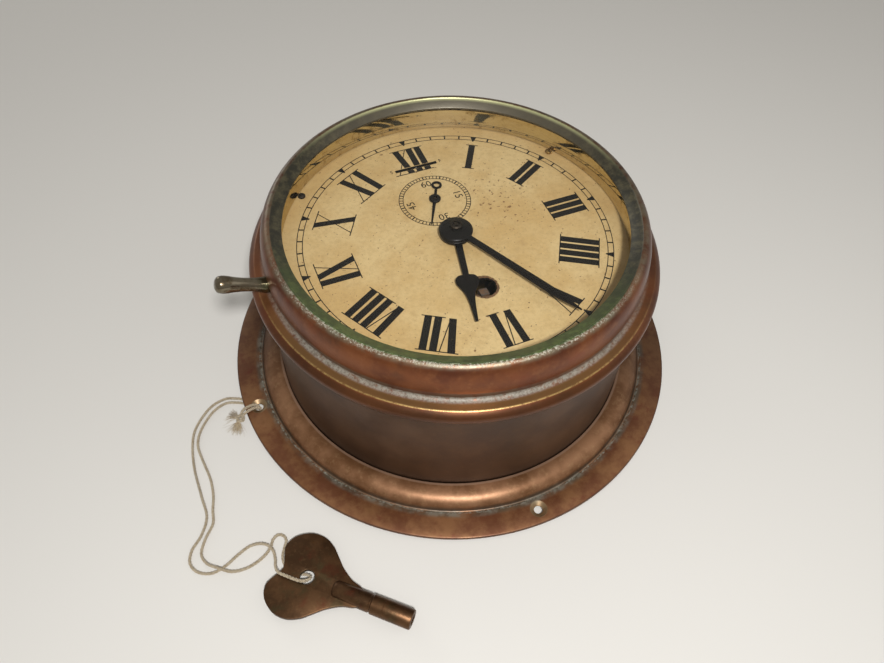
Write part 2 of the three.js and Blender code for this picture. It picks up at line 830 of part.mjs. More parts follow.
function centreArbor() {
  const bottom = backPlateTop;
  const pinionBottom = greatBottom - 1.2;
  const shaft = arbor([
    [centreArborRadius, backPlateHeight, backPlateTop + 0.4],
    [1.5, backPlateTop + 0.4, frontPlateBottom - 0.4],
    [centreArborRadius, frontPlateBottom - 0.4, dialFace + minuteHandRise + minuteBossHeight + 1.5],
  ]);
  const body = shaft.add(leaves(centreLeaves, greatModule, pinionBottom, pinionBottom + leafLength));
  return part('centre_arbor', body, steel);
}

function centreWheel() {
  const bottom = backPlateTop + centreWheelRise;
  return placed(trainWheel('centre_wheel', centreTeeth, centreModule, bottom, 1.5 + seatGap, 4),
    [0, 0], centreTurn);
}

function smallArbor(name, count, module, pinionBottom, top, at, turn) {
  const shaft = arbor([
    [pivotRadius, backPlateHeight, backPlateTop + 0.4],
    [pivotRadius + 0.2, backPlateTop + 0.4, frontPlateBottom - 0.4],
    [pivotRadius, frontPlateBottom - 0.4, top],
  ]);
  const body = shaft.add(leaves(count, module, pinionBottom, pinionBottom + leafLength));
  return placed(part(name, body, steel), at, turn);
}

function thirdWheel() {
  return placed(trainWheel('third_wheel', thirdTeeth, thirdModule, backPlateTop + thirdWheelRise,
    pivotRadius + 0.2 + seatGap, 4), thirdArbor, thirdTurn);
}

function fourthWheel() {
  return placed(trainWheel('fourth_wheel', fourthTeeth, fourthModule, backPlateTop + fourthWheelRise,
    pivotRadius + 0.2 + seatGap, 4), fourthArbor, fourthTurn);
}

// Motion work
const cannonModule = (2 * motionDistance) / (cannonTeeth + minuteTeeth);
const hourModule = (2 * motionDistance) / (minuteLeaves + hourTeeth);
const cannonBottom = frontPlateTop + 1.4;
const hourWheelBottom = frontPlateTop + 5.4;

function cannonPinion() {
  const top = dialFace + minuteHandRise + minuteBossHeight - 0.4;
  const body = leaves(cannonTeeth, cannonModule, cannonBottom, cannonBottom + 2.2)
    .add(rod(cannonPipeRadius, cannonBottom, top, smallSides))
    .subtract(rod(centreArborRadius + seatGap, cannonBottom - 1, top + 1, smallSides));
  return placed(part('cannon_pinion', body, steel), [0, 0], cannonTurn);
}

function minuteWheel() {
  const bottom = cannonBottom + 0.2;
  const body = sheet(toothOutline(minuteTeeth, cannonModule, wheelTooth), bottom, bottom + wheelThickness)
    .add(leaves(minuteLeaves, hourModule, bottom + 0.5, hourWheelBottom + wheelThickness + 1))
    .subtract(rod(1 + runningGap, bottom - 1, hourWheelBottom + 9, arborSides));
  return placed(part('minute_wheel', body, cleanBrass), minuteStud, minuteWheelTurn);
}

function minuteWheelStud() {
  const body = rod(1, frontPlateTop + 0.1, hourWheelBottom + wheelThickness + 2, arborSides);
  return placed(part('minute_wheel_stud', body, steel), minuteStud);
}

function hourWheel() {
  const top = dialFace + hourHandRise + 1;
  const body = sheet(toothOutline(hourTeeth, hourModule, wheelTooth), hourWheelBottom, hourWheelBottom + wheelThickness)
    .add(rod(hourPipeRadius, hourWheelBottom, top, smallSides))
    .subtract(rod(cannonPipeRadius + runningGap, hourWheelBottom - 1, top + 1, smallSides));
  return placed(part('hour_wheel', body, cleanBrass), [0, 0], hourWheelTurn);
}

// Escapement
const escapeBottom = frontPlateTop + 3;
const escapeTop = escapeBottom + 1.2;

function escapeArborPart() {
  const pinionBottom = backPlateTop + fourthWheelRise - 1.6;
  const shaft = arbor([
    [pivotRadius, backPlateHeight, backPlateTop + 0.4],
    [pivotRadius, backPlateTop + 0.4, frontPlateTop + bridgeHeight],
    [pivotRadius - 0.25, frontPlateTop + bridgeHeight, frontPlateTop + bridgeHeight + bridgeThickness],
  ]);
  const body = shaft.add(leaves(escapeLeaves, fourthModule, pinionBottom, pinionBottom + leafLength));
  return placed(part('escape_arbor', body, steel), escapeArbor, escapeTurn);
}

function escapeWheel() {
  const points = [];
  const hub = escapeRadius - 1.9;
  for (let i = 0; i < escapeTeeth; i += 1) {
    const at = (r, share) => points.push(polar(r, (360 * (i + share)) / escapeTeeth));
    at(hub, -0.42);
    at(escapeRadius, -0.06);
    at(escapeRadius, 0.08);
    at(hub, 0.12);
  }
  const shape = outline(points);
  shape.holes.push(ring(pivotRadius + seatGap, arborSides));
  shape.holes.push(...crossings(4, pivotRadius + 1.4, hub - 0.7, 0.9));
  return placed(part('escape_wheel', sheet(shape, escapeBottom, escapeTop), cleanBrass), escapeArbor, escapeTurn);
}

function palletLever() {
  const reach = escapeRadius + palletClearance;
  const stone = (side) => polar(reach, 90 - side * 30, [0, -palletDistance]);
  const right = stone(1);
  const fork = balanceArbor[1] - palletArbor[1] - rollerPinCircle - 0.65;
  const half = [
    [0.5, fork - 1.2], [0.5, fork], [1.3, fork], [1.5, fork - 2], [0.7, fork - 3],
    [1.3, 1.2], [right[0] + 0.8, right[1] + 1.2], [right[0] + 1.1, right[1] + 0.4],
    [right[0] + 0.1, right[1] + 0.1], [right[0] - 0.7, right[1] + 0.7], [1.3, -1.6],
  ];
  const mirrored = half.map(([x, y]) => [-x, y]).reverse();
  const shape = outline([...half, ...mirrored].reverse());
  shape.holes.push(ring(palletPivotRadius + seatGap, arborSides));
  return placed(part('pallet_lever', sheet(shape, escapeBottom, escapeTop), steel), palletArbor);
}

function palletArborPart() {
  const body = arbor([
    [palletPivotRadius, frontPlateBottom + 0.4, frontPlateTop + bridgeHeight + bridgeThickness],
  ]);
  return placed(part('pallet_arbor', body, steel), palletArbor);
}

function escapementBridge() {
  const low = frontPlateTop + bridgeHeight + 0.1;
  const high = low + bridgeThickness;
  const y0 = escapeArbor[1] - 3;
  const y1 = palletArbor[1] + 2.4;
  const hole = pivotRadius + runningGap;
  const inner = escapeRadius + 3;
  const body = box(-inner - 3.4, inner + 3.4, y0, y1, low, high)
    .add(box(-inner - 3.4, -inner, y0, y1, frontPlateTop + seatGap, low + 0.5))
    .add(box(inner, inner + 3.4, y0, y1, frontPlateTop + seatGap, low + 0.5))
    .subtract(rod(hole, low - 1, high + 1, arborSides, escapeArbor))
    .subtract(rod(hole, low - 1, high + 1, arborSides, palletArbor));
  return part('escapement_bridge', body, cleanBrass);
}

const balanceBottom = escapeTop + 2.4;
const cockBottom = frontPlateTop + cockHeight;
const cockTop = cockBottom + 2;

function balanceWheel() {
  const shape = new THREE.Shape();
  shape.absarc(0, 0, balanceRadius, 0, 2 * Math.PI, false);
  shape.holes.push(ring(pivotRadius + seatGap, arborSides));
  const windows = [];
  const rim = balanceRadius - balanceRim;
  for (const from of [0, 180]) {
    const points = [];
    for (let i = 0; i <= 8; i += 1) points.push(polar(rim, from + 8 + (164 * i) / 8));
    for (let i = 4; i >= 0; i -= 1) points.push(polar(pivotRadius + 1.3, from + 30 + (120 * i) / 4));
    windows.push(outline(points.reverse()));
  }
  shape.holes.push(...windows);
  const body = sheet(shape, balanceBottom, balanceBottom + 1.4, smallSides);
  return placed(part('balance_wheel', body, cleanBrass), balanceArbor);
}

function balanceStaff() {
  const rollerBottom = escapeTop + 0.4;
  const body = arbor([
    [pivotRadius - 0.25, frontPlateBottom + 0.4, frontPlateTop + 0.6],
    [pivotRadius, frontPlateTop + 0.6, rollerBottom],
    [2.2, rollerBottom, rollerBottom + 0.6],
    [pivotRadius, rollerBottom + 0.6, cockBottom - 0.4],
    [pivotRadius - 0.25, cockBottom - 0.4, cockTop - 0.2],
  ]).add(rod(0.3, escapeBottom + 0.1, rollerBottom + 0.3, 6, [0, -rollerPinCircle]));
  return placed(part('balance_staff', body, steel), balanceArbor);
}

function hairspring() {
  const bottom = balanceBottom + 2;
  const body = woundStrip(pivotRadius + 0.5, balanceRadius - 3.6, hairspringTurns, bottom, bottom + 0.7,
    0.16, Math.PI, 10);
  return placed(part('hairspring', body, steel), balanceArbor);
}

function balanceCock() {
  const x = balanceArbor[0];
  const y = balanceArbor[1];
  const far = balanceRadius + 9;
  const near = balanceRadius + 2.6;
  const studX = -(balanceRadius - 3.6) - 0.7;
  const shape = outline([
    [-far, -4], [-3, -3.6], [0, -3.4], [3, -1.6], [3.4, 0], [3, 1.6], [0, 3.4], [-3, 3.6], [-far, 4],
  ]);
  const body = sheet(shape, cockBottom, cockTop)
    .add(box(-far, -near, -4, 4, frontPlateTop + seatGap, cockBottom + 0.5))
    .add(pipe(pivotRadius + runningGap, 2.2, cockTop - 0.2, cockTop + 1.3, smallSides))
    .add(box(studX - 0.5, studX + 0.4, -0.5, 0.5, balanceBottom + 1.9, cockBottom + 0.5))
    .subtract(rod(pivotRadius + runningGap, cockBottom - 1, cockTop + 3, smallSides));
  return placed(part('balance_cock', body, cleanBrass), [x, y]);
}

function regulatorIndex() {
  const bottom = cockTop + seatGap;
  const tip = -regulatorArm - 0.35;
  const body = pipe(2.2 + runningGap, 3.8, bottom, bottom + 0.8, 16)
    .add(sheet(outline([[-0.9, -3], [-0.5, tip], [0.5, tip], [0.9, -3]]), bottom, bottom + 0.8))
    .add(rod(0.4, bottom, dialFace - 0.1, 6, [0, tip + 0.1]));
  return placed(part('regulator_index', body, steel), balanceArbor);
}

// Hands, each drawn along +X and turned to the time shown
function secondsHand() {
  const low = dialFace + secondsHandRise;
  const high = low + 0.5;
  const tailRing = secondsTailLength;
  const body = sheet(outline([[0, -0.55], [secondsHandLength, -0.3], [secondsHandLength, 0.3], [0, 0.55]]), low, high)
    .add(sheet(outline([[0, 0.5], [-tailRing + 1.8, 0.45], [-tailRing + 1.8, -0.45], [0, -0.5]]), low, high))
    .add(pipe(1.3, 2.3, low, high, 14, [-tailRing, 0]))
    .add(rod(2.6, low - 0.1, high + 0.4, 16))
    .subtract(rod(pivotRadius + seatGap, low - 1, high + 2, arborSides));
  return placed(part('seconds_hand', body, blackened), fourthArbor, handTurn(shownSeconds / 60));
}

function hourHand() {
  const low = dialFace + hourHandRise;
  const high = low + handThickness;
  const l = hourHandLength;
  const root = hourBossRadius - 3;
  const bulb = hourBulbPlace;
  const run = hourBulbRun;
  const wide = hourBulbWidth / 2;
  const narrow = hourBladeWidth / 2;
  const tip = hourTipWidth / 2;
  const shape = new THREE.Shape();
  shape.moveTo(root, -narrow);
  shape.lineTo(bulb - run, -0.8 * narrow);
  shape.bezierCurveTo(bulb - 0.86 * run, -0.88 * wide, bulb + 0.14 * run, -wide, bulb + 0.62 * run, -0.65 * wide);
  shape.bezierCurveTo(bulb + 1.1 * run, -0.35 * wide, bulb + 1.9 * run, -0.27 * wide, l, -tip);
  shape.lineTo(l, tip);
  shape.bezierCurveTo(bulb + 1.9 * run, 0.27 * wide, bulb + 1.1 * run, 0.35 * wide, bulb + 0.62 * run, 0.65 * wide);
  shape.bezierCurveTo(bulb + 0.14 * run, wide, bulb - 0.86 * run, 0.88 * wide, bulb - run, 0.8 * narrow);
  shape.lineTo(root, narrow);
  const body = sheet(shape, low, high, 6)
    .add(rod(hourBossRadius, low - 0.2, high + 0.5, 24))
    .subtract(rod(hourPipeRadius + seatGap, low - 2, high + 2, smallSides));
  return placed(part('hour_hand', body, blackened), [0, 0], handTurn(shownHours / 12));
}

function minuteHand() {
  const low = dialFace + minuteHandRise;
  const high = low + minuteBossHeight;
  const l = minuteHandLength;
  const shape = outline([[4, -1.3], [0.8 * l, -1.85], [l, -0.15], [l, 0.15], [0.8 * l, 1.85], [4, 1.3]]);
  const dome = turned([
    [0, low], [minuteBossRadius, low], [minuteBossRadius, low + 0.5 * minuteBossHeight],
    [minuteBossRadius - 0.8, low + 0.8 * minuteBossHeight],
    [minuteBossRadius - 2.6, high - 0.1], [0, high],
  ], 24);
  const body = sheet(shape, low + 0.3, low + 0.3 + handThickness)
    .add(dome)
    .subtract(rod(cannonPipeRadius + seatGap, low - 2, high + 2, smallSides));
  return placed(part('minute_hand', body, blackened), [0, 0], minuteTurn);
}

function handNut() {
  const low = dialFace + minuteHandRise + minuteBossHeight + seatGap;
  const body = turned([
    [centreArborRadius + seatGap, low], [2.6, low], [2.6, low + 0.8], [1.9, low + 1.4],
    [centreArborRadius + seatGap, low + 1.4],
  ], smallSides);
  return part('hand_nut', body, rusted);
}

// Winding key, drawn along +X with its open end at x = 0
function keyBow() {
  const l = keyBowLength;
  const half = [
    [-21.2, 3.2], [-24.2, 4.3], [-28, 5.3], [-33.5, 8.5], [-37.6, 12.1], [-41.5, 15.4], [-46.5, 17.5],
    [-52.4, 17.2], [1.9 - l, 13.4], [-l, 8.5], [1.3 - l, 4.9], [2.7 - l, 2.2],
  ];
  const side = new THREE.SplineCurve(half.map(([x, y]) => new THREE.Vector2(x, y))).getPoints(22);
  const upper = side.map((p) => [p.x, p.y]);
  const lower = side.map((p) => [p.x, -p.y]).reverse();
  const shape = outline([...upper, [3.4 - l, 0], ...lower]);
  shape.holes.push(ring(keyBowHole, 16, [-keyBowHoleAlong, 0]));
  const half2 = keyBowThickness / 2;
  const body = sheet(shape, -half2, half2)
    .intersect(box(-l - 1, -keyPipeLength + keyTongue, -30, 30, -9, 9));
  return part('winding_key_bow', body, bronze);
}

function keyPipe() {
  const l = keyPipeLength;
  const r = keyPipeRadius;
  const geometry = turned([
    [0, -l], [r - 0.9, -l], [r - 0.3, -l + 1.2], [r - 0.2, -keyCollar - 0.5], [r - 0.5, -keyCollar - 0.3],
    [r - 0.5, -keyCollar + 0.1], [r, -keyCollar + 0.4], [r, -0.4], [r - 0.3, 0], [0, 0],
  ], 16);
  const half = keySocket / 2;
  const slot = keyBowThickness / 2 + seatGap;
  const body = geometry.rotate([0, 90, 0])
    .subtract(box(-keySocketDepth, 1, -half, half, -half, half))
    .subtract(box(-l - 1, -l + keyTongue + seatGap, -9, 9, -slot, slot));
  return part('winding_key_pipe', body, bronze);
}

function windingKey() {
  const group = new THREE.Group();
  group.add(keyBow(), keyPipe());
  const rear = keyPipeLength - 1.2;
  const height = keyPipeRadius - 0.3 + rear * Math.sin(radians(keyTilt));
  group.position.set(keyEnd[0], keyEnd[1], height);
  group.rotation.set(0, -radians(keyTilt), radians(keyTurn), 'ZYX');
  return group;
}

// The cord's route from under the flange to the key's hole and back, as chosen points
const cordRoute = [
  [-105.2, 1.9, 0.75], [-108.4, 3.7, 0.75], [-113.2, 5.3, 0.75], [-119.8, 3.8, 0.75], [-125.6, -0.9, 0.75],
  [-130.4, -7.4, 0.75], [-132.7, -15.4, 0.75], [-133.8, -26.0, 0.75], [-133.4, -40.0, 0.75],
  [-133.2, -50.6, 0.75], [-137.0, -57.8, 0.75], [-141.8, -62.8, 0.75],
  [-143.4, -67.6, 0.75], [-141.4, -72.2, 0.75], [-136.2, -75.0, 0.75], [-130.4, -74.2, 0.75],
  [-124.4, -71.4, 0.75], [-119.0, -69.6, 0.85], [-114.8, -70.4, 1.7], [-111.9, -72.6, 2.5],
  [-110.4, -75.6, 2.55], [-110.4, -79.6, 2.7], [-111.0, -83.3, 4.0], [-110.4, -86.3, 5.2],
  [-108.0, -88.8, 5.35], [-105.4, -91.2, 5.4], [-103.2, -92.9, 5.3], [-101.1, -93.4, 4.6],
  [-99.5, -92.8, 3.5], [-99.0, -91.4, 2.2], [-100.3, -89.9, 1.35], [-103.0, -88.4, 1.1],
  [-106.0, -85.9, 1.05], [-107.6, -82.2, 0.9], [-107.3, -78.4, 0.75], [-105.6, -75.2, 0.75],
  [-104.3, -72.5, 0.75], [-105.0, -70.1, 0.75], [-107.1, -69.1, 0.75], [-109.4, -70.4, 0.75],
  [-111.0, -73.0, 0.75], [-113.6, -75.3, 0.75], [-117.6, -77.2, 0.75],
  [-122.9, -78.2, 0.8], [-128.4, -77.6, 1.6], [-132.8, -74.6, 2.55], [-136.9, -70.6, 1.7],
  [-138.3, -65.6, 0.85], [-135.7, -60.0, 0.75], [-131.2, -54.0, 0.75], [-130.2, -48.4, 0.75],
  [-128.6, -41.6, 0.75], [-128.2, -33.4, 0.75], [-129.6, -22.8, 0.75], [-130.2, -15.2, 0.75],
  [-128.6, -9.6, 0.75], [-124.4, -3.6, 0.75], [-119.2, 1.0, 0.75], [-113.4, 2.8, 0.75],
  [-108.8, 1.4, 0.75], [-105.3, -0.5, 0.75],
];

function keyCord() {
  return part('key_cord', tube(new Route(cordRoute), cordRadius, 8, cordRoute.length - 1), cotton);
}

// The knot beside the flange, its two strands over the rim and through the hole, and its frayed ends
const knotPlace = [-109.3, -8.5, knotRadius + 0.1];
const firstStrand = [
  [-108.3, -7.3, 3.6], [-106.5, -5.9, 4.35], [-103.6, -5.1, 4.35], [-101.5, -4.8, 3.8],
  [-100.2, -4.9, 2.7], [-99.8, -5.0, 1.7], [-100.0, -4.6, 0.85], [-101.2, -3.1, 0.75], [-104.9, 1.6, 0.75],
];
const secondStrand = [
  [-108.2, -8.9, 3.6], [-106.2, -8.0, 4.35], [-103.3, -7.0, 4.35], [-101.0, -6.6, 3.8],
  [-99.5, -6.6, 2.7], [-99.3, -6.5, 1.7], [-99.6, -6.1, 0.85], [-101.2, -4.6, 0.75], [-105.0, -0.8, 0.75],
];
const frayedEnds = [[-112.8, -3.2, 1.1], [-113.4, -14.0, 1.1]];

function cordKnot() {
  const knot = new THREE.SphereGeometry(knotRadius, 8, 6);
  knot.translate(...knotPlace);
  let body = solid(knot);
  for (const strand of [firstStrand, secondStrand]) {
    body = body.add(tube(new Route(strand), cordRadius, 8, strand.length - 1));
  }
  for (const end of frayedEnds) {
    body = body.add(tube(new Route([knotPlace, end]), cordRadius + 0.25, 8, 1));
  }
  return part('cord_knot', body, cotton);
}

const clock = new THREE.Group();
clock.name = 'ships_clock';
clock.add(
  mountingFlange(), backCover(), ...coverScrews(), caseDrum(),
  bezelRing(), bezelHandle(), glassPane(), glassGasket(), glassRetainer(),
  dialPlate(), ...dialScrewAngles.map((angle, i) => part(`dial_screw_${i + 1}`, dialScrew(angle), cleanBrass)),
  backPlate(), frontPlate(), ...pillarAngles.map((angle, i) => part(`pillar_nut_${i + 1}`, pillarNut(angle), steel)),
  barrel(), barrelCover(), mainspring(), windingArbor(), ratchetWheel(), click(), clickStud(),
  centreArbor(), centreWheel(), cannonPinion(), minuteWheel(), minuteWheelStud(), hourWheel(),
  smallArbor('third_arbor', thirdLeaves, centreModule, backPlateTop + centreWheelRise - 0.9,
    frontPlateTop, thirdArbor, thirdTurn),
  thirdWheel(),
  smallArbor('fourth_arbor', fourthLeaves, thirdModule, backPlateTop + thirdWheelRise - 1.6,
    dialFace + secondsHandRise + 0.7, fourthArbor, fourthTurn),
  fourthWheel(),
  escapeArborPart(), escapeWheel(), palletLever(), palletArborPart(), escapementBridge(),
  balanceWheel(), balanceStaff(), hairspring(), balanceCock(), regulatorIndex(),
  secondsHand(), hourHand(), minuteHand(), handNut(),
  windingKey(), keyCord(), cordKnot(),
);

export default clock;
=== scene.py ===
import math
import random

import bmesh
import bpy
from mathutils import Matrix, Vector


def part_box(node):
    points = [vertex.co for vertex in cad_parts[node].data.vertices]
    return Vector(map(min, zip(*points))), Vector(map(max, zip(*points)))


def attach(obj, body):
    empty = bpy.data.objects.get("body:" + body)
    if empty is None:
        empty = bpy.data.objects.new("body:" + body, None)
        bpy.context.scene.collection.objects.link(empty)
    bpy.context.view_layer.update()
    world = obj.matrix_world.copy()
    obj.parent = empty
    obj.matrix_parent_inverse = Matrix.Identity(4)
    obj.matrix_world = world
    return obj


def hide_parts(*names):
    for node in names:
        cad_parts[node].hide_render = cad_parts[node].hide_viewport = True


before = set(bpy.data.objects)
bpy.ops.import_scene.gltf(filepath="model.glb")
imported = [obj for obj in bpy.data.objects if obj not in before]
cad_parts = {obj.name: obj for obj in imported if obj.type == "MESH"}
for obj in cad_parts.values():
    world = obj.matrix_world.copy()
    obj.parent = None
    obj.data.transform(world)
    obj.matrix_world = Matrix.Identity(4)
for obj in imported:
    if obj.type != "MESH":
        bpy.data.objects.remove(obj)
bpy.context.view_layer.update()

MM = 0.001
TURNED_SIDES = 180
SMALL_SIDES = 48
SHARP_ANGLE = math.radians(32)

# Heights from the CAD frame
BEZEL_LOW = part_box("bezel_ring")[0].z / MM
GLASS_LOW, GLASS_HIGH = (corner.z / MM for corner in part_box("glass"))
DIAL_FEET_LOW, DIAL_FACE = (corner.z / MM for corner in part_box("dial_plate"))
DIAL_THICKNESS = 1.2
DIAL_LOW = DIAL_FACE - DIAL_THICKNESS

# The case. The flange's groove is named by the radius of its middle
FLANGE_RADIUS = 106
FLANGE_GROOVE = 94.5
DRUM_RADIUS = 83
DRUM_HIGH = 64.7
COVER_RADIUS = 92
DIAL_RADIUS = 75.8

# Places on the dial, with screws and feet as radius and angle
SECONDS_CENTRE = (0, 24)
WINDING_CENTRE = (0, -30.5)
SPOTTED_CENTRE = (27, 17)
MINUTE_TRACK = (65.0, 67.4)
SECONDS_TRACK = (14.2, 16.0)
SECONDS_FIGURES = 10.9
SLOT_HEIGHT = 47.8
SLOT_HALF_WIDTH = 0.95
SLOT_HALF_LENGTH = 10.2
DIAL_SCREWS = ((72, 139.5), (72, 29.5), (72, -95.5))
DIAL_FEET = ((58, 0), (58, 120), (58, 240))

# The time shown
SHOWN_HOUR = 6
SHOWN_MINUTES = 25.57
SHOWN_SECONDS = 34.4

# Screw holes of the flange and the back cover
FLANGE_SCREW_CIRCLE = 99.7
FLANGE_SCREW_ANGLES = (0, 90, 183.3, 270)
COVER_SCREW_CIRCLE = 86

# Winding key
KEY_END = (-66.8, -123.4, 4.673)
KEY_TURN = math.radians(-43.1)
KEY_TILT = math.radians(1.7)

CORD_DIAMETER = 1.4


def polar(radius, degrees, centre=(0, 0)):
    angle = math.radians(degrees)
    return centre[0] + radius * math.cos(angle), centre[1] + radius * math.sin(angle)


# Node graphs
def colour(code):
    """A linear RGBA colour from an sRGB hex code."""
    channels = [int(code[i:i + 2], 16) / 255 for i in (0, 2, 4)]
    return tuple(c / 12.92 if c <= 0.04045 else ((c + 0.055) / 1.055) ** 2.4 for c in channels) + (1.0,)


class Graph:
    """A material's node tree, built with short calls. Places and sizes are in millimetres."""

    def __init__(self, name, metallic=0.0, **fixed):
        self.material = bpy.data.materials.new(name)
        self.material.use_nodes = True
        self.nodes = self.material.node_tree.nodes
        self.links = self.material.node_tree.links
        self.shader = self.nodes["Principled BSDF"]
        self.place = self.nodes.new("ShaderNodeTexCoord").outputs["Object"]
        self.shader.inputs["Metallic"].default_value = metallic
        for socket, value in fixed.items():
            self.shader.inputs[socket.replace("_", " ").title()].default_value = value
        parts = self.node("ShaderNodeSeparateXYZ", {0: self.place})
        self.x, self.y, self.z = (self.times(parts.outputs[i], 1 / MM) for i in range(3))

    def feed(self, value, socket):
        if isinstance(value, bpy.types.NodeSocket):
            self.links.new(value, socket)
        else:
            socket.default_value = value

    def node(self, kind, inputs, **settings):
        """A new node with its settings, and its inputs by name or number."""
        node = self.nodes.new(kind)
        for name, value in settings.items():
            setattr(node, name, value)
        for key, value in inputs.items():
            self.feed(value, node.inputs[key])
        return node

    def math(self, operation, a, b=0.0):
        return self.node("ShaderNodeMath", {0: a, 1: b}, operation=operation).outputs[0]

    def times(self, *values):
        result = values[0]
        for value in values[1:]:
            result = self.math("MULTIPLY", result, value)
        return result

    def distance(self, cx=0.0, cy=0.0):
        """Millimetres from the upright line through (cx, cy)."""
        dx = self.math("SUBTRACT", self.x, cx)
        dy = self.math("SUBTRACT", self.y, cy)
        return self.math("SQRT", self.math("ADD", self.times(dx, dx), self.times(dy, dy)))

    def noise(self, size, detail=4.0, roughness=0.6):
        """Noise of about that size in millimetres."""
        inputs = {"Vector": self.place, "Scale": 1 / (size * MM), "Detail": detail, "Roughness": roughness}
        return self.node("ShaderNodeTexNoise", inputs).outputs["Fac"]

    def turned_noise(self, across, around):
        """Noise drawn out round the clock's axis, as a lathe leaves it."""
        radius = self.distance()
        safe = self.math("MAXIMUM", radius, 0.01)
        x, y = (self.times(self.math("DIVIDE", side, safe), around) for side in (self.x, self.y))
        place = self.node("ShaderNodeCombineXYZ", {0: x, 1: y, 2: self.times(self.z, 1 / across)})
        inputs = {"Vector": place.outputs[0], "W": self.times(radius, 1 / across), "Scale": 1, "Detail": 3}
        return self.node("ShaderNodeTexNoise", inputs, noise_dimensions="4D").outputs["Fac"]

    def rise(self, value, low, high):
        """0 below low, 1 above high, smooth between."""
        inputs = {"Value": value, "From Min": low, "From Max": high}
        return self.node("ShaderNodeMapRange", inputs, interpolation_type="SMOOTHSTEP").outputs["Result"]

    def fall(self, value, low, high):
        """1 below low, 0 above high, smooth between."""
        return self.math("SUBTRACT", 1.0, self.rise(value, low, high))

    def band(self, value, low, high, soft):
        """1 between low and high, with both limits that soft."""
        foot = self.rise(value, low - soft, low + soft)
        return self.times(foot, self.fall(value, high - soft, high + soft))

    def patches(self, size, detail, roughness, low, high):
        """1 where such noise is above high, 0 where it is below low."""
        return self.rise(self.noise(size, detail, roughness), low, high)

    def mix(self, factor, a, b):
        """From colour a at 0 to colour b at 1."""
        return self.node("ShaderNodeMix", {0: factor, 6: a, 7: b}, data_type="RGBA").outputs[2]

    def tones(self, factor, low, high):
        """The same for two hex colours."""
        return self.mix(factor, colour(low), colour(high))

    def cover(self, base, code, *factors):
        """The base under a hex colour that is as strong as the product of the factors."""
        return self.mix(self.times(*factors), base, colour(code))

    def blend(self, factor, a, b):
        """From number a at 0 to number b at 1."""
        return self.node("ShaderNodeMix", {0: factor, 2: a, 3: b}).outputs[0]

    def paint(self, value, socket="Base Color"):
        self.feed(value, self.shader.inputs[socket])

    def rough(self, factor, low, high):
        self.paint(self.blend(factor, low, high), "Roughness")

    def film(self, weight, roughness):
        """A thin dull film over metal, which gives its highlights a pale tone."""
        self.paint(weight, "Coat Weight")
        self.paint(roughness, "Coat Roughness")

    def bump(self, height, depth):
        """Bumps of that depth in millimetres."""
        bumps = self.node("ShaderNodeBump", {"Distance": depth * MM, "Height": height})
        self.paint(bumps.outputs[0], "Normal")


def mottled(g, dark, middle, light, size, specks=0.25):
    """Three tones of patina in soft clouds with finer specks."""
    base = g.tones(g.patches(size, 5.0, 0.6, 0.36, 0.64), dark, middle)
    return g.cover(base, light, g.patches(size * 0.15, 3.0, 0.65, 0.5, 0.76), specks)


def lit_side(g, radius):
    """1 on the side facing the camera and the key lamp, left of the six, down to -1 behind the twelve. The
    painted shade and highlights follow it.
    """
    return g.math("DIVIDE", g.math("ADD", g.times(g.x, -0.42), g.times(g.y, -0.91)), radius)


# Bezel brass: heights are above the bezel's foot, as in its profile
def bead_wear_and_painted_light(g, base, radius, height, front, flakes):
    """The lower bead, darkened at the front as painted shade, with a worn strip and a bright worn line on
    top that are strengthened towards the lit front as a painted highlight.
    """
    bead = g.times(g.rise(radius, 84.6, 85.6), g.fall(height, 6.4, 7.2))
    # Painted shade on the bead's front.
    base = g.cover(base, "43280f", bead, front, 0.65)
    # Worn strip, strengthened towards the lit front as a painted highlight.
    strip = g.times(g.band(height, 7.0, 7.9, 0.15), g.rise(radius, 82.4, 83.0))
    base = g.cover(base, "7e6139", strip, g.blend(front, 0.05, 0.7))
    # Worn bright brass line, strengthened towards the lit front as a painted highlight.
    line = g.times(g.band(height, 7.0, 7.25, 0.08), g.rise(radius, 84.9, 85.2), g.rise(flakes, 0.38, 0.56))
    return g.cover(base, "bd9d60", line, g.blend(front, 0.05, 0.6))


def groove_crust_and_highlight(g, base, radius, height, front, flakes):
    """The dull foot of the upper bead and the pale crust in the groove, the crust strengthened towards the
    lit front as a painted highlight. Returns colour and crust.
    """
    base = g.cover(base, "625a44", g.band(height, 9.0, 12.0, 0.8), g.patches(6, 5.0, 0.7, 0.36, 0.6), 0.5)
    grains = g.math("ADD", g.times(flakes, 0.45), g.times(g.noise(4), 0.55))
    # Real pale crust, weighted towards the lit front as a painted highlight.
    crust = g.times(g.band(height, 7.5, 9.2, 0.4), g.fall(radius, 82.2, 83.2), g.rise(grains, 0.27, 0.5),
                    g.blend(front, 0.25, 0.8))
    return g.mix(crust, base, g.tones(g.rise(flakes, 0.36, 0.6), "646155", "929186")), crust


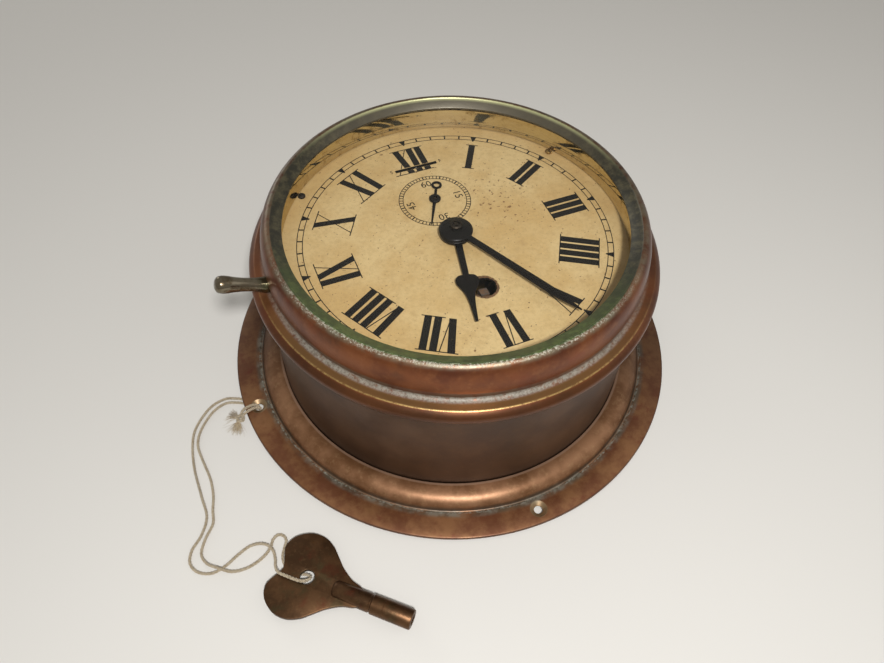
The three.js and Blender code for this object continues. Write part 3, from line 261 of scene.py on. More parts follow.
def crest_patina_and_highlight(g, base, radius, height, front, far, flakes):
    """The crest: green inside at the front, dark elsewhere with a painted highlight at the back, with pale
    chips along the front. Returns colour, inside and chips."""
    shoulder = g.times(g.rise(height, 23.0, 24.9), g.patches(5, 5.0, 0.7, 0.3, 0.62))
    base = g.cover(base, "7d7e69", shoulder, g.blend(front, 0.45, 0.7))
    dark = g.tones(g.patches(4.0, 5.0, 0.7, 0.4, 0.68), "2c2a1f", "514b36")
    # Painted highlight: a pale sheen on the inside slope at the back, where the lamp's reflection falls.
    sheen = g.tones(g.rise(radius, 74.6, 76.4), "5c5546", "c9c894")
    dark = g.mix(g.times(far, 0.85), dark, sheen)
    green = g.tones(g.patches(3.0, 5.0, 0.7, 0.4, 0.7), "38461f", "586a33")
    border = g.math("SUBTRACT", g.math("ADD", radius, g.times(flakes, 0.5)), front)
    inside = g.fall(border, 76.2, 76.7)
    base = g.mix(inside, base, g.mix(front, dark, green))
    chips = g.times(g.band(radius, 76.8, 78.3, 0.4), g.rise(height, 23.0, 24.2),
                    g.patches(0.8, 6.0, 0.8, 0.48, 0.6), front)
    return g.cover(base, "c4c0ae", chips, 0.8), inside, chips


def bezel_brass():
    g = Graph("worn_bezel_brass")
    radius = g.distance()
    height = g.math("SUBTRACT", g.z, BEZEL_LOW)
    near = lit_side(g, radius)
    front = g.rise(near, 0.25, 0.85)
    far = g.rise(g.times(near, -1.0), 0.3, 0.98)
    flakes = g.noise(1.3, 6.0, 0.75)
    base = mottled(g, "5c301c", "7d4826", "93603a", 24, 0.3)
    base = g.cover(base, "74391f", g.patches(13, 5.0, 0.65, 0.5, 0.68), 0.6)
    base = g.cover(base, "4a3022", g.patches(17, 4.0, 0.6, 0.52, 0.72), 0.55)
    # Painted shade: darker towards the sides and back, away from the lamp.
    base = g.cover(base, "2c1810", g.blend(g.rise(near, -0.2, 0.7), 0.62, 0.0))
    base = bead_wear_and_painted_light(g, base, radius, height, front, flakes)
    base, crust = groove_crust_and_highlight(g, base, radius, height, front, flakes)
    base, inside, chips = crest_patina_and_highlight(g, base, radius, height, front, far, flakes)
    g.paint(base)
    crust = g.math("MAXIMUM", g.times(crust, 0.8), g.times(chips, 0.8))
    dead = g.math("MAXIMUM", crust, g.times(inside, g.blend(front, 0.35, 0.9)))
    g.paint(g.blend(dead, 0.66, 0.05), "Metallic")
    g.rough(crust, g.blend(g.noise(9), 0.26, 0.46), 0.7)
    g.film(0.08, 0.3)
    g.bump(g.math("ADD", g.noise(1.1, 5.0, 0.7), g.times(crust, 0.6)), 0.03)
    return g.material


# Other metals
def flange_brass():
    g = Graph("worn_flange_brass")
    radius = g.distance()
    beyond = g.math("SUBTRACT", radius, FLANGE_GROOVE)
    flat = g.rise(beyond, 0.3, 1.1)
    flakes = g.noise(1.5, 6.0, 0.75)
    base = mottled(g, "6f4a2c", "91694a", "a98660", 15, 0.35)
    mixed = g.tones(g.patches(11, 5.0, 0.65, 0.34, 0.66), "6a3d25", "8f6440")
    base = g.mix(g.times(flat, 0.85), base, mixed)
    base = g.cover(base, "6b2f20", flat, g.patches(8, 5.0, 0.7, 0.54, 0.7), 0.55)
    base = g.cover(base, "3d2618", g.rise(radius, FLANGE_RADIUS - 0.7, FLANGE_RADIUS - 0.2), 0.6)
    dirt = g.times(g.band(beyond, -0.9, 2.1, 1.0), g.patches(9, 5.0, 0.65, 0.3, 0.6), 0.75)
    base = g.mix(dirt, base, g.tones(g.patches(6, 4.0, 0.6, 0.4, 0.6), "4b4b40", "7b7d72"))
    # Painted shadow in the crease between the moulding and the groove.
    base = g.cover(base, "241c14", g.band(beyond, -1.3, -0.6, 0.25), 0.7)
    line = g.times(g.band(beyond, -0.2, 0.7, 0.3), g.rise(flakes, 0.44, 0.62), 0.8)
    base = g.cover(base, "9a9c90", line)
    # Painted highlight along the moulding's top edge beside the drum.
    base = g.cover(base, "b4927a", g.band(radius, DRUM_RADIUS + 0.3, DRUM_RADIUS + 1.5, 0.3), 0.6)
    base = g.mix(g.times(near_screw_hole(g), 0.6), base, g.tones(flakes, "5b5646", "b09a70"))
    # Painted shade: darker towards the sides and back, away from the lamp.
    base = g.cover(base, "24150d", g.blend(g.rise(lit_side(g, radius), -0.1, 0.7), 0.6, 0.0))
    g.paint(base)
    g.paint(g.blend(g.math("MAXIMUM", line, g.times(dirt, 0.6)), 0.62, 0.05), "Metallic")
    g.rough(line, g.blend(g.noise(10), 0.3, 0.52), 0.8)
    g.film(0.1, 0.32)
    g.bump(g.math("ADD", g.noise(1.2, 5.0, 0.7), g.times(line, 0.5)), 0.03)
    return g.material


def near_screw_hole(g):
    """1 in the countersinks of the flange."""
    nearest = g.distance(*polar(FLANGE_SCREW_CIRCLE, FLANGE_SCREW_ANGLES[0]))
    for angle in FLANGE_SCREW_ANGLES[1:]:
        nearest = g.math("MINIMUM", nearest, g.distance(*polar(FLANGE_SCREW_CIRCLE, angle)))
    return g.fall(nearest, 3.5, 4.1)


def drum_brass():
    g = Graph("dark_drum_brass", 0.6)
    base = mottled(g, "3f2a1b", "503723", "5f452d", 22, 0.2)
    base = g.cover(base, "705440", g.patches(34, 4.0, 0.55, 0.5, 0.72), 0.35)
    base = g.cover(base, "332b20", g.patches(9, 5.0, 0.7, 0.56, 0.76), 0.25)
    # Painted shade under the overhanging bezel, darker towards the drum's top.
    base = g.cover(base, "2b1f17", g.rise(g.z, DRUM_HIGH - 3.2, DRUM_HIGH - 0.5), 0.5)
    # Painted shade: darker towards the foot.
    base = g.cover(base, "2c2018", g.fall(g.z, 9, 24), 0.6)
    g.paint(base)
    g.rough(g.noise(22, 5), 0.34, 0.55)
    g.film(0.1, 0.35)
    g.bump(g.noise(0.9, 4.0, 0.65), 0.02)
    return g.material


def plain_metal(name, dark, middle, light, size, rough, metallic=0.9):
    g = Graph(name, metallic)
    g.paint(mottled(g, dark, middle, light, size))
    g.rough(g.noise(size * 0.5), *rough)
    g.bump(g.noise(size * 0.08, 4.0, 0.7), 0.03)
    return g.material


def turned_metal(name, dark, middle, light, rough):
    """Bright metal with the fine rings of the lathe."""
    g = Graph(name, 0.95)
    rings = g.turned_noise(0.35, 5)
    base = g.tones(g.rise(rings, 0.35, 0.65), dark, middle)
    g.paint(g.cover(base, light, g.patches(2.0, 5.0, 0.7, 0.5, 0.75), 0.7))
    g.rough(rings, *rough)
    g.bump(rings, 0.02)
    return g.material


def polished_brass():
    g = Graph("polished_ring_brass", 1.0)
    dull = g.patches(5, 5.0, 0.7, 0.5, 0.75)
    g.paint(g.tones(dull, "cdc09e", "98845f"))
    g.rough(dull, 0.05, 0.22)
    return g.material


def rusty_steel():
    g = Graph("rusty_steel")
    rust = g.patches(1.5, 6.0, 0.75, 0.42, 0.6)
    g.paint(g.mix(rust, colour("6b6258"), g.tones(g.noise(0.6), "5a3c26", "8a6440")))
    g.paint(g.blend(rust, 0.8, 0.1), "Metallic")
    g.rough(rust, 0.45, 0.9)
    g.bump(g.noise(0.7, 6.0, 0.75), 0.12)
    return g.material


def black_hands():
    g = Graph("blackened_hand_steel", 0.35)
    worn = g.patches(2.2, 6.0, 0.75, 0.56, 0.74)
    g.paint(g.tones(g.times(worn, 0.5), "120f0c", "3a2c20"))
    g.paint(0.3, "Specular IOR Level")
    g.rough(worn, 0.36, 0.62)
    g.bump(g.noise(0.9, 5.0, 0.7), 0.04)
    return g.material


def key_bronze():
    g = Graph("dark_key_bronze", 0.8)
    base = mottled(g, "4a331f", "62452c", "7a5c3e", 10, 0.3)
    base = g.cover(base, "433f28", g.patches(7, 4.0, 0.6, 0.5, 0.68), 0.5)
    g.paint(g.cover(base, "5e2c1c", g.patches(9, 4.0, 0.6, 0.56, 0.7), 0.5))
    g.rough(g.noise(4), 0.3, 0.48)
    g.bump(g.noise(0.8, 5.0, 0.7), 0.04)
    return g.material


def handle_nickel():
    g = Graph("worn_handle_nickel", 0.95)
    brown = g.patches(5, 5.0, 0.7, 0.42, 0.66)
    base = g.tones(brown, "7b7261", "574935")
    root = g.fall(g.distance(), 82.5, 86.5)
    g.paint(g.cover(base, "55543c", root, 0.8))
    g.rough(brown, 0.12, 0.34)
    g.bump(g.noise(1.2, 4.0, 0.6), 0.03)
    return g.material


# Dial, glass and cord
def dial_paint():
    g = Graph("aged_dial_paint")
    base = g.tones(g.patches(30, 5.0, 0.6, 0.35, 0.68), "d3b883", "c4a36a")
    base = g.cover(base, "a98755", g.patches(6, 6.0, 0.7, 0.5, 0.75), 0.4)
    base = g.cover(base, "a98a5a", g.rise(g.distance(), 62, 76), 0.5)
    base = g.cover(base, "a98a58", g.patches(1.7, 4.0, 0.7, 0.42, 0.68), 0.3)
    base = g.cover(base, "8d6c40", g.patches(0.8, 3.0, 0.7, 0.58, 0.76), 0.4)
    spotted = g.fall(g.distance(*SPOTTED_CENTRE), 6, 26)
    spots = g.math("ADD", g.noise(1.9, 3.0, 0.55), g.times(spotted, 0.085))
    base = g.cover(base, "6d4a28", g.rise(spots, 0.685, 0.72), 0.85)
    base = g.cover(base, "4d3219", g.patches(1.1, 2.0, 0.5, 0.71, 0.74), 0.9)
    from_hole = g.math("ADD", g.distance(*WINDING_CENTRE), g.times(g.noise(1.6, 5.0, 0.75), 1.8))
    rust = g.tones(g.patches(1.2, 4.0, 0.7, 0.4, 0.6), "4b3420", "7a5a3a")
    base = g.mix(g.fall(from_hole, 6.8, 7.1), base, rust)
    # Painted shade on the plate's cut edges, so that the holes and slot read dark inside.
    g.paint(g.cover(base, "1c1712", g.fall(g.z, DIAL_FACE - 0.25, DIAL_FACE - 0.1)))
    g.rough(g.noise(12), 0.42, 0.62)
    g.bump(g.noise(1.3, 5.0, 0.65), 0.03)
    return g.material


def dial_ink():
    g = Graph("worn_dial_ink", roughness=0.5)
    worn = g.patches(1.0, 6.0, 0.75, 0.6, 0.72)
    g.paint(g.tones(g.times(worn, 0.7), "14110d", "7d6642"))
    g.paint(0.25, "Specular IOR Level")
    return g.material


def clear_glass():
    """Flat glass, seen by its reflections: the clear part lets light through unbent."""
    g = Graph("clear_glass", 1.0, roughness=0.03)
    g.paint(colour("f2f6f3"))
    slant = g.node("ShaderNodeLayerWeight", {"Blend": 0.5}).outputs["Facing"]
    mirror = g.math("POWER", slant, 5.0)
    g.paint(g.math("ADD", g.times(mirror, 0.9), 0.012), "Alpha")
    return g.material


def dirty_rubber():
    g = Graph("hardened_gasket", roughness=0.85)
    g.paint(g.tones(g.patches(1.4, 6.0, 0.8, 0.4, 0.6), "1f1a13", "6a5a40"))
    g.bump(g.noise(0.8, 5.0, 0.7), 0.1)
    return g.material


def cotton(name, base, shade):
    g = Graph(name, roughness=0.95, sheen_weight=0.35)
    g.paint(g.tones(g.patches(0.8, 5.0, 0.75, 0.35, 0.68), base, shade))
    g.bump(g.noise(0.22, 4.0, 0.8), 0.08)
    return g.material


# Objects and meshes
def link(name, data):
    """A new object in the scene."""
    made = bpy.data.objects.new(name, data)
    bpy.context.scene.collection.objects.link(made)
    return made


def add_piece(name, mesh, material, body):
    piece = link(name, mesh)
    mesh.materials.clear()
    mesh.materials.append(material)
    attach(piece, body)
    return piece


def dress(node, mesh, material, body):
    """A finer piece in the place of a CAD node."""
    piece = add_piece(f"{node}_dressed", mesh, material, body)
    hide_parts(node)
    return piece


def smooth(mesh):
    """Shades the mesh smooth but for its real edges."""
    for polygon in mesh.polygons:
        polygon.use_smooth = True
    mesh.set_sharp_from_angle(angle=SHARP_ANGLE)
    return mesh


def finish_mesh(bm, name, transform=None):
    """A smooth mesh from bm, in metres."""
    if transform is not None:
        bm.transform(transform)
    bm.transform(Matrix.Scale(MM, 4))
    bmesh.ops.recalc_face_normals(bm, faces=bm.faces)
    mesh = bpy.data.meshes.new(name)
    bm.to_mesh(mesh)
    bm.free()
    return smooth(mesh)


def evaluated_mesh(holder):
    """The mesh that an object's curve or modifiers give. The object is removed."""
    bpy.context.view_layer.update()
    evaluated = holder.evaluated_get(bpy.context.evaluated_depsgraph_get())
    mesh = bpy.data.meshes.new_from_object(evaluated)
    bpy.data.objects.remove(holder)
    return mesh


def catmull_rom(points, steps):
    """Points on the centripetal curve through the given ones, steps to each span."""
    points = [Vector(p) for p in points]
    ends = [2 * points[0] - points[1], *points, 2 * points[-1] - points[-2]]
    result = []
    for before, a, b, after in zip(ends, ends[1:], ends[2:], ends[3:]):
        gaps = [math.sqrt((q - p).length) for p, q in ((before, a), (a, b), (b, after))]
        leave = (a - before) / gaps[0] - (b - before) / (gaps[0] + gaps[1]) + (b - a) / gaps[1]
        reach = (b - a) / gaps[1] - (after - a) / (gaps[1] + gaps[2]) + (after - b) / gaps[2]
        leave, reach = leave * gaps[1], reach * gaps[1]
        for i in range(steps):
            t = i / steps
            cubic = 2 * a - 2 * b + leave + reach
            square = 3 * b - 3 * a - 2 * leave - reach
            result.append(((cubic * t + square) * t + leave) * t + a)
    return result + [points[-1]]


def rounded(profile, steps=4):
    """A smooth run of (radius, height) points through the given ones."""
    return [(p.x, p.y) for p in catmull_rom([(r, z, 0) for r, z in profile], steps)]


def add_turned(bm, profile, sides, centre=(0, 0)):
    """Turns a closed run of (radius, height) points round an upright axis. Points at radius 0 close it."""
    rings = []
    for radius, height in profile:
        count = 1 if radius < 1e-6 else sides
        rings.append([bm.verts.new((*polar(radius, 360 * i / sides, centre), height)) for i in range(count)])
    solid = len(rings[0]) == 1 and len(rings[-1]) == 1
    pairs = list(zip(rings, rings[1:])) + ([] if solid else [(rings[-1], rings[0])])
    for a, b in pairs:
        for i in range(sides):
            j = (i + 1) % sides
            corners = [a[i % len(a)], a[j % len(a)], b[j % len(b)], b[i % len(b)]]
            face = list(dict.fromkeys(corners))
            if len(face) > 2:
                bm.faces.new(face)


def turned(name, profile, sides=TURNED_SIDES, centre=(0, 0), transform=None):
    bm = bmesh.new()
    add_turned(bm, profile, sides, centre)
    return finish_mesh(bm, name, transform)


def add_tube(bm, rings):
    """Joins a run of equal rings of vertices and closes both ends."""
    count = len(rings[0])
    for a, b in zip(rings, rings[1:]):
        for i in range(count):
            j = (i + 1) % count
            bm.faces.new((a[i], a[j], b[j], b[i]))
    bm.faces.new(rings[0])
    bm.faces.new(rings[-1])


def add_prism(bm, outline, low, high):
    """An upright prism on a convex outline."""
    add_tube(bm, [[bm.verts.new((x, y, z)) for x, y in outline] for z in (low, high)])


def circle(radius, sides=SMALL_SIDES, centre=(0, 0)):
    return [polar(radius, 360 * i / sides, centre) for i in range(sides)]


def rectangle(left, right, low, high):
    return [(left, low), (right, low), (right, high), (left, high)]


def add_curve(bm, curve, transform):
    """Adds the solid of a filled curve, which is removed."""
    mesh = evaluated_mesh(link("outline", curve))
    mesh.transform(transform)
    bm.from_mesh(mesh)
    bpy.data.curves.remove(curve)
    bpy.data.meshes.remove(mesh)


def add_plate(bm, outer, holes, low, high, bevel=0.0):
    """A flat plate of any outline with holes and softened edges."""
    curve = bpy.data.curves.new("outline", "CURVE")
    curve.dimensions = "2D"
    curve.fill_mode = "BOTH"
    curve.extrude = (high - low) / 2 - bevel
    curve.bevel_depth = bevel
    curve.bevel_resolution = 1
    curve.offset = -bevel
    for loop in [outer, *holes]:
        spline = curve.splines.new("POLY")
        spline.points.add(len(loop) - 1)
        for point, (x, y) in zip(spline.points, loop):
            point.co = (x, y, 0, 1)
        spline.use_cyclic_u = True
    add_curve(bm, curve, Matrix.Translation((0, 0, (low + high) / 2)))
    bmesh.ops.remove_doubles(bm, verts=bm.verts, dist=1e-4)


def add_text(bm, text, size, place, turn, low, high):
    """Generic lettering, laid flat with its middle at place."""
    curve = bpy.data.curves.new("lettering", "FONT")
    curve.body = text
    curve.size = size
    curve.align_x = "CENTER"
    curve.align_y = "CENTER"
    curve.extrude = (high - low) / 2
    add_curve(bm, curve, Matrix.Translation((*place, (low + high) / 2)) @ Matrix.Rotation(turn, 4, "Z"))


def cut(mesh, *cutters):
    """Takes the cutters, which are meshes in metres, out of the mesh."""
    body = link("body", mesh)
    tools = [link("cutter", cutter) for cutter in cutters]
    for tool in tools:
        modifier = body.modifiers.new("cut", "BOOLEAN")
        modifier.operation = "DIFFERENCE"
        modifier.solver = "EXACT"
        modifier.object = tool
    result = evaluated_mesh(body)
    for tool in tools:
        bpy.data.objects.remove(tool)
    return smooth(result)


def box_mesh(low, high, transform=None):
    bm = bmesh.new()
    add_prism(bm, rectangle(low[0], high[0], low[1], high[1]), low[2], high[2])
    return finish_mesh(bm, "box", transform)


def slotted_screw(profile, place, degrees, slot_low, slot_high):
    """A screw with a slot across its head, which is turned by that many degrees."""
    turn = Matrix.Translation((*place, 0)) @ Matrix.Rotation(math.radians(degrees), 4, "Z")
    return cut(turned("screw", profile, SMALL_SIDES, place), box_mesh(slot_low, slot_high, turn))


# Case
def build_flange(material):
    rim = FLANGE_RADIUS
    groove = rounded([(FLANGE_GROOVE + 0.8, 3.3), (FLANGE_GROOVE + 0.4, 3.15), (FLANGE_GROOVE, 2.9),
                      (FLANGE_GROOVE - 0.4, 2.85), (FLANGE_GROOVE - 0.8, 3.1)], 2)
    moulding = rounded([(93.3, 3.6), (92.9, 5.0), (91.8, 6.4), (90.0, 7.6), (88.0, 8.25), (86.0, 8.5),
                        (84.3, 8.45)])
    profile = [(77, 1.6), (rim - 0.2, 1.6), (rim, 1.8), (rim, 2.7), (rim - 0.2, 3.1), (rim - 0.7, 3.3),
               *groove, *moulding, (83.5, 8.3), (83.3, 8.0), (83.3, 4.0), (77, 4.0)]
    sink = [(0, 0), (1.9, 0), (1.9, 2.1), (3.7, 3.3), (4.6, 3.9), (0, 3.9)]
    places = [polar(FLANGE_SCREW_CIRCLE, angle) for angle in FLANGE_SCREW_ANGLES]
    mesh = cut(turned("flange", profile), *[turned("hole", sink, SMALL_SIDES, place) for place in places])
    dress("mounting_flange", mesh, material, "case")


def build_drum(material):
    side, top = DRUM_RADIUS, DRUM_HIGH
    wall = [(80.2, 4.3), (side - 0.2, 4.3), (side, 4.5), (side, top - 0.2), (side - 0.2, top), (80.6, top)]
    neck = [(80.6, 71.0), (76.3, 71.0), (76.3, 72.8), (69.5, 72.8), (69.5, 70.4), (77.6, 70.4)]
    mesh = turned("drum", wall + neck + [(77.6, 59.7), (80.2, 56.7)])
    dress("case_drum", mesh, material, "case")


def build_back(cover_material, screw_material):
    rim = [(0, 0), (COVER_RADIUS - 0.6, 0), (COVER_RADIUS - 0.15, 0.15), (COVER_RADIUS, 0.6),
           (COVER_RADIUS, 1.5), (0, 1.5)]
    places = [polar(COVER_SCREW_CIRCLE, 45 + 90 * i) for i in range(4)]
    sink = [(0, -1), (3.4, -1), (3.4, 0.1), (1.9, 1.4), (1.9, 2), (0, 2)]
    mesh = cut(turned("cover", rim), *[turned("sink", sink, SMALL_SIDES, place) for place in places])
    dress("back_cover", mesh, cover_material, "case")
    profile = [(0, 0.05), (2.7, 0.05), (2.9, 0.2), (1.5, 1.35), (1.5, 5.2), (0, 5.2)]
    for i, place in enumerate(places):
        screw = slotted_screw(profile, place, 25 + 50 * i, (-4, -0.35, -1), (4, 0.35, 0.55))
        dress(f"cover_screw_{i + 1}", screw, screw_material, "case")


# Bezel
def build_bezel(material):
    z = BEZEL_LOW
    lower = rounded([(85.9, z), (87.2, z + 1.1), (88.0, z + 2.9), (87.9, z + 4.6), (87.0, z + 5.9),
                     (85.6, z + 7.1)])
    groove = rounded([(85.2, z + 7.25), (84.4, z + 7.35), (82.2, z + 7.7), (80.8, z + 8.6),
                      (80.8, z + 9.6)], 3)
    upper = rounded([(81.0, z + 10.5), (81.4, z + 12.6), (81.3, z + 15.8), (80.95, z + 18.8),
                     (80.35, z + 21.2), (79.6, z + 22.9), (78.6, z + 24.2), (77.4, z + 24.95),
                     (76.5, z + 25.0), (75.8, z + 24.4)], 5)
    inside = [(71.9, z + 22.35), (71.8, z + 22.2), (71.8, z + 21.6), (76.9, z + 21.6),
              (76.9, z + 6.3), (81.05, z + 6.3), (81.05, z)]
    seat = turned("seat", rectangle(0, 3.4, -0.3, 12), SMALL_SIDES, transform=handle_place())
    mesh = cut(turned("bezel", lower + groove + upper + inside), seat)
    dress("bezel_ring", mesh, material, "bezel")


def handle_place():
    return Matrix.Translation((-80.6, 0, BEZEL_LOW + 11.2)) @ Matrix.Rotation(math.radians(-67.8), 4, "Y")


def build_handle(material):
    root = [(0, -0.2), (2.9, -0.2), (3.15, 0.0), (3.3, 0.5), (3.35, 1.2)]
    neck = rounded([(3.3, 2.0), (3.05, 3.4), (2.8, 5.6), (2.7, 8.4), (2.8, 11.8), (3.1, 14.6), (3.5, 17.4),
                    (3.5, 19.3), (3.05, 20.8), (1.9, 21.6)])
    mesh = turned("handle", root + neck + [(0, 21.8)], SMALL_SIDES, transform=handle_place())
    dress("bezel_handle", mesh, material, "bezel")


def build_glazing(glass, gasket, ring):
    low, high = GLASS_LOW, GLASS_HIGH
    pane = [(0, low), (76.4, low), (76.6, low + 0.2), (76.6, high - 0.2), (76.4, high), (0, high)]
    dress("glass", turned("glass", pane), glass, "glazing")
    seal = rectangle(72.2, 76.6, high + 0.3, high + 0.7)
    dress("glass_gasket", turned("gasket", seal), gasket, "glazing")
    foot = DIAL_FACE + 0.3
    wall = [(73.9, foot + 0.2), (74.1, foot), (76.4, foot), (76.6, foot + 0.2), (76.6, low - 0.5),
            (76.4, low - 0.3), (75.7, low - 0.3), (75.5, low - 0.5)]
    dress("glass_retaining_ring", turned("ring", wall), ring, "glazing")


# Dial
def chipped_hole(centre, radius):
    """The winding hole, whose edge is chipped."""
    chipped = random.Random(5)
    edge = [(x * k, y * k) for x, y in circle(1, 60) for k in [radius + chipped.uniform(-0.12, 0.3)]]
    return [(x + centre[0], y + centre[1]) for x, y in edge]


def build_dial(material):
    slot = rectangle(-SLOT_HALF_LENGTH, SLOT_HALF_LENGTH, SLOT_HEIGHT - SLOT_HALF_WIDTH,
                     SLOT_HEIGHT + SLOT_HALF_WIDTH)
    holes = [circle(4.1), circle(1.6, 24, SECONDS_CENTRE), chipped_hole(WINDING_CENTRE, 5.0), slot]
    holes += [circle(1.4, 24, polar(*screw)) for screw in DIAL_SCREWS]
    bm = bmesh.new()
    add_plate(bm, circle(DIAL_RADIUS, TURNED_SIDES), holes, DIAL_LOW, DIAL_FACE)
    for place in DIAL_FEET:
        add_turned(bm, rectangle(0, 2.2, DIAL_FEET_LOW, DIAL_LOW), 24, polar(*place))
    dress("dial_plate", finish_mesh(bm, "dial"), material, "case")


def build_dial_screws(materials):
    base = DIAL_FACE + 0.3
    profile = [(0, 70.4), (1.1, 70.4), (1.1, base), (1.6, base), (1.7, base + 0.15), (1.6, base + 0.7),
               (1.0, base + 1.15), (0, base + 1.3)]
    for i, (place, material) in enumerate(zip(DIAL_SCREWS, materials)):
        slot_low, slot_high = (-3, -0.3, base + 0.7), (3, 0.3, base + 2)
        screw = slotted_screw(profile, polar(*place), 20 + 65 * i, slot_low, slot_high)
        dress(f"dial_screw_{i + 1}", screw, material, "case")


# Print on the dial: strokes that cross are of different thickness, so that no two tops fall together
PRINT_LOW = DIAL_FACE + 0.004
INK, CROSSING_INK, TOP_INK = 0.03, 0.034, 0.038
HEAD_RADIUS, FOOT_RADIUS = 61.2, 44.6
BAR, THIN, SERIF = 3.0, 0.45, 0.45

# Roman numerals as strokes (head, foot, width) across the hour's own line, clockwise positive
NUMERALS = {
    1: [(0, 0, BAR)],
    2: [(-2, -2, BAR), (2, 2, BAR)],
    3: [(-3.9, -3.9, BAR), (0, 0, BAR), (3.9, 3.9, BAR)],
    4: [(-5.9, -5.9, BAR), (-2, -2, BAR), (1.9, 1.9, BAR), (5.8, 5.8, BAR)],
    5: [(-2.6, -0.4, BAR), (4.6, 0.6, THIN)],
    6: [(-4.2, -3.2, BAR), (0.8, -2.2, THIN), (2.9, 2.9, BAR)],
    7: [(-6.2, -4.8, BAR), (-1.6, -4.0, THIN), (0.9, 0.9, BAR), (4.9, 4.9, BAR)],
    8: [(-8, -7.2, BAR), (-3.2, -6.4, THIN), (-1.4, -1.4, BAR), (2.7, 2.7, BAR), (6.8, 6.8, BAR)],
    9: [(-5.5, -5.5, BAR), (-1.8, 3.4, BAR), (4, -3, THIN)],
    10: [(-3.3, 3.3, BAR), (3.6, -5, THIN)],
    11: [(-5.5, -2.8, BAR), (0, -8.8, THIN), (3, 3, BAR)],
    12: [(-5.6, -3, BAR), (-0.8, -9, THIN), (1, 1, BAR), (5, 5, BAR)],
}
# How far the serif lines run at the head and at the foot
SERIFS = {
    1: ((-2.8, 2.8),) * 2, 2: ((-4.8, 4.8),) * 2, 3: ((-6.7, 6.7),) * 2, 4: ((-8.7, 8.6),) * 2,
    5: ((-5.4, 6.2), None), 6: ((-7, 5.7), (0.2, 5.7)), 7: ((-9, 7.7), (-1.9, 7.7)),
    8: ((-10.8, 9.6), (-4.2, 9.6)), 9: ((-8.3, 6), (-8.3, 6.2)), 10: ((-6.1, 5.6), (-7, 6.1)),
    11: ((-8.3, 5.8), (-10.6, 5.8)), 12: ((-8.4, 7.8), (-10.8, 7.8)),
}


def add_inked(bm, centre, turn, corners, ink):
    """A printed patch. Its corners are (aside, radius) from the line at that turn, clockwise positive."""
    angle = math.radians(90 - turn)
    x, y = math.cos(angle), math.sin(angle)
    outline = [(centre[0] + x * radius + y * aside, centre[1] + y * radius - x * aside)
               for aside, radius in corners]
    add_prism(bm, outline, PRINT_LOW, PRINT_LOW + ink)


def add_stroke(bm, turn, head, foot, width, span, ink):
    """One straight bar or hairline of a numeral, with both ends square to the hour's line."""
    def aside(radius):
        share = (radius - FOOT_RADIUS) / (HEAD_RADIUS - FOOT_RADIUS)
        return foot + (head - foot) * share
    low, high = span
    corners = [(aside(low) - width / 2, low), (aside(low) + width / 2, low),
               (aside(high) + width / 2, high), (aside(high) - width / 2, high)]
    add_inked(bm, (0, 0), turn, corners, ink)


def add_numeral(bm, hour):
    turn = 30 * hour
    spans = [(FOOT_RADIUS, HEAD_RADIUS)]
    if hour == 12:
        spans = [(FOOT_RADIUS, SLOT_HEIGHT - SLOT_HALF_WIDTH - 0.1),
                 (SLOT_HEIGHT + SLOT_HALF_WIDTH + 0.1, HEAD_RADIUS)]
    for head, foot, width in NUMERALS[hour]:
        for span in spans:
            add_stroke(bm, turn, head, foot, width, span, INK if width == BAR else CROSSING_INK)
    for run, radius in zip(SERIFS[hour], (HEAD_RADIUS, FOOT_RADIUS)):
        if run:
            add_inked(bm, (0, 0), turn, rectangle(*run, radius - SERIF / 2, radius + SERIF / 2), TOP_INK)


def add_ring_line(bm, radius, width, centre):
    line = rectangle(radius - width / 2, radius + width / 2, PRINT_LOW, PRINT_LOW + INK)
    add_turned(bm, line, TURNED_SIDES, centre)


def add_tick(bm, centre, turn, radii, widths, ink):
    (inner, outer), (inner_width, outer_width) = radii, widths
    corners = [(-inner_width / 2, inner), (-outer_width / 2, outer), (outer_width / 2, outer),
               (inner_width / 2, inner)]
    add_inked(bm, centre, turn, corners, ink)


def build_print(material):
    bm = bmesh.new()
    for hour in range(1, 13):
        add_numeral(bm, hour)
    for radius in MINUTE_TRACK:
        add_ring_line(bm, radius, 0.36, (0, 0))
    for minute in range(60):
        add_tick(bm, (0, 0), 6 * minute, MINUTE_TRACK, (0.7, 0.7), CROSSING_INK)
        if minute % 5 == 0:
            add_tick(bm, (0, 0), 6 * minute, (64.0, MINUTE_TRACK[1]), (0.5, 3.0), TOP_INK)
    for radius in SECONDS_TRACK:
        add_ring_line(bm, radius, 0.32, SECONDS_CENTRE)
    for second in range(60):
        width = 0.55 if second % 5 == 0 else 0.36
        add_tick(bm, SECONDS_CENTRE, 6 * second, SECONDS_TRACK, (width, width), CROSSING_INK)
    for turn, text in ((0, "60"), (90, "15"), (180, "30"), (270, "45")):
        place = polar(SECONDS_FIGURES, 90 - turn, SECONDS_CENTRE)
        add_text(bm, text, 5.1, place, math.radians(-turn), PRINT_LOW, PRINT_LOW + INK)
    for x, letter in ((-12.0, "S"), (12.0, "F")):
        add_text(bm, letter, 2.9, (x, SLOT_HEIGHT + 0.2), 0, PRINT_LOW, PRINT_LOW + INK)
    add_piece("dial_print", finish_mesh(bm, "print"), material, "case")


# Hands, drawn along +X and turned to the time shown
def hand_place(centre, share):
    return Matrix.Translation((*centre, 0)) @ Matrix.Rotation(math.pi / 2 - 2 * math.pi * share, 4, "Z")


def mirrored(half):
    return half + [(x, -y) for x, y in reversed(half)]


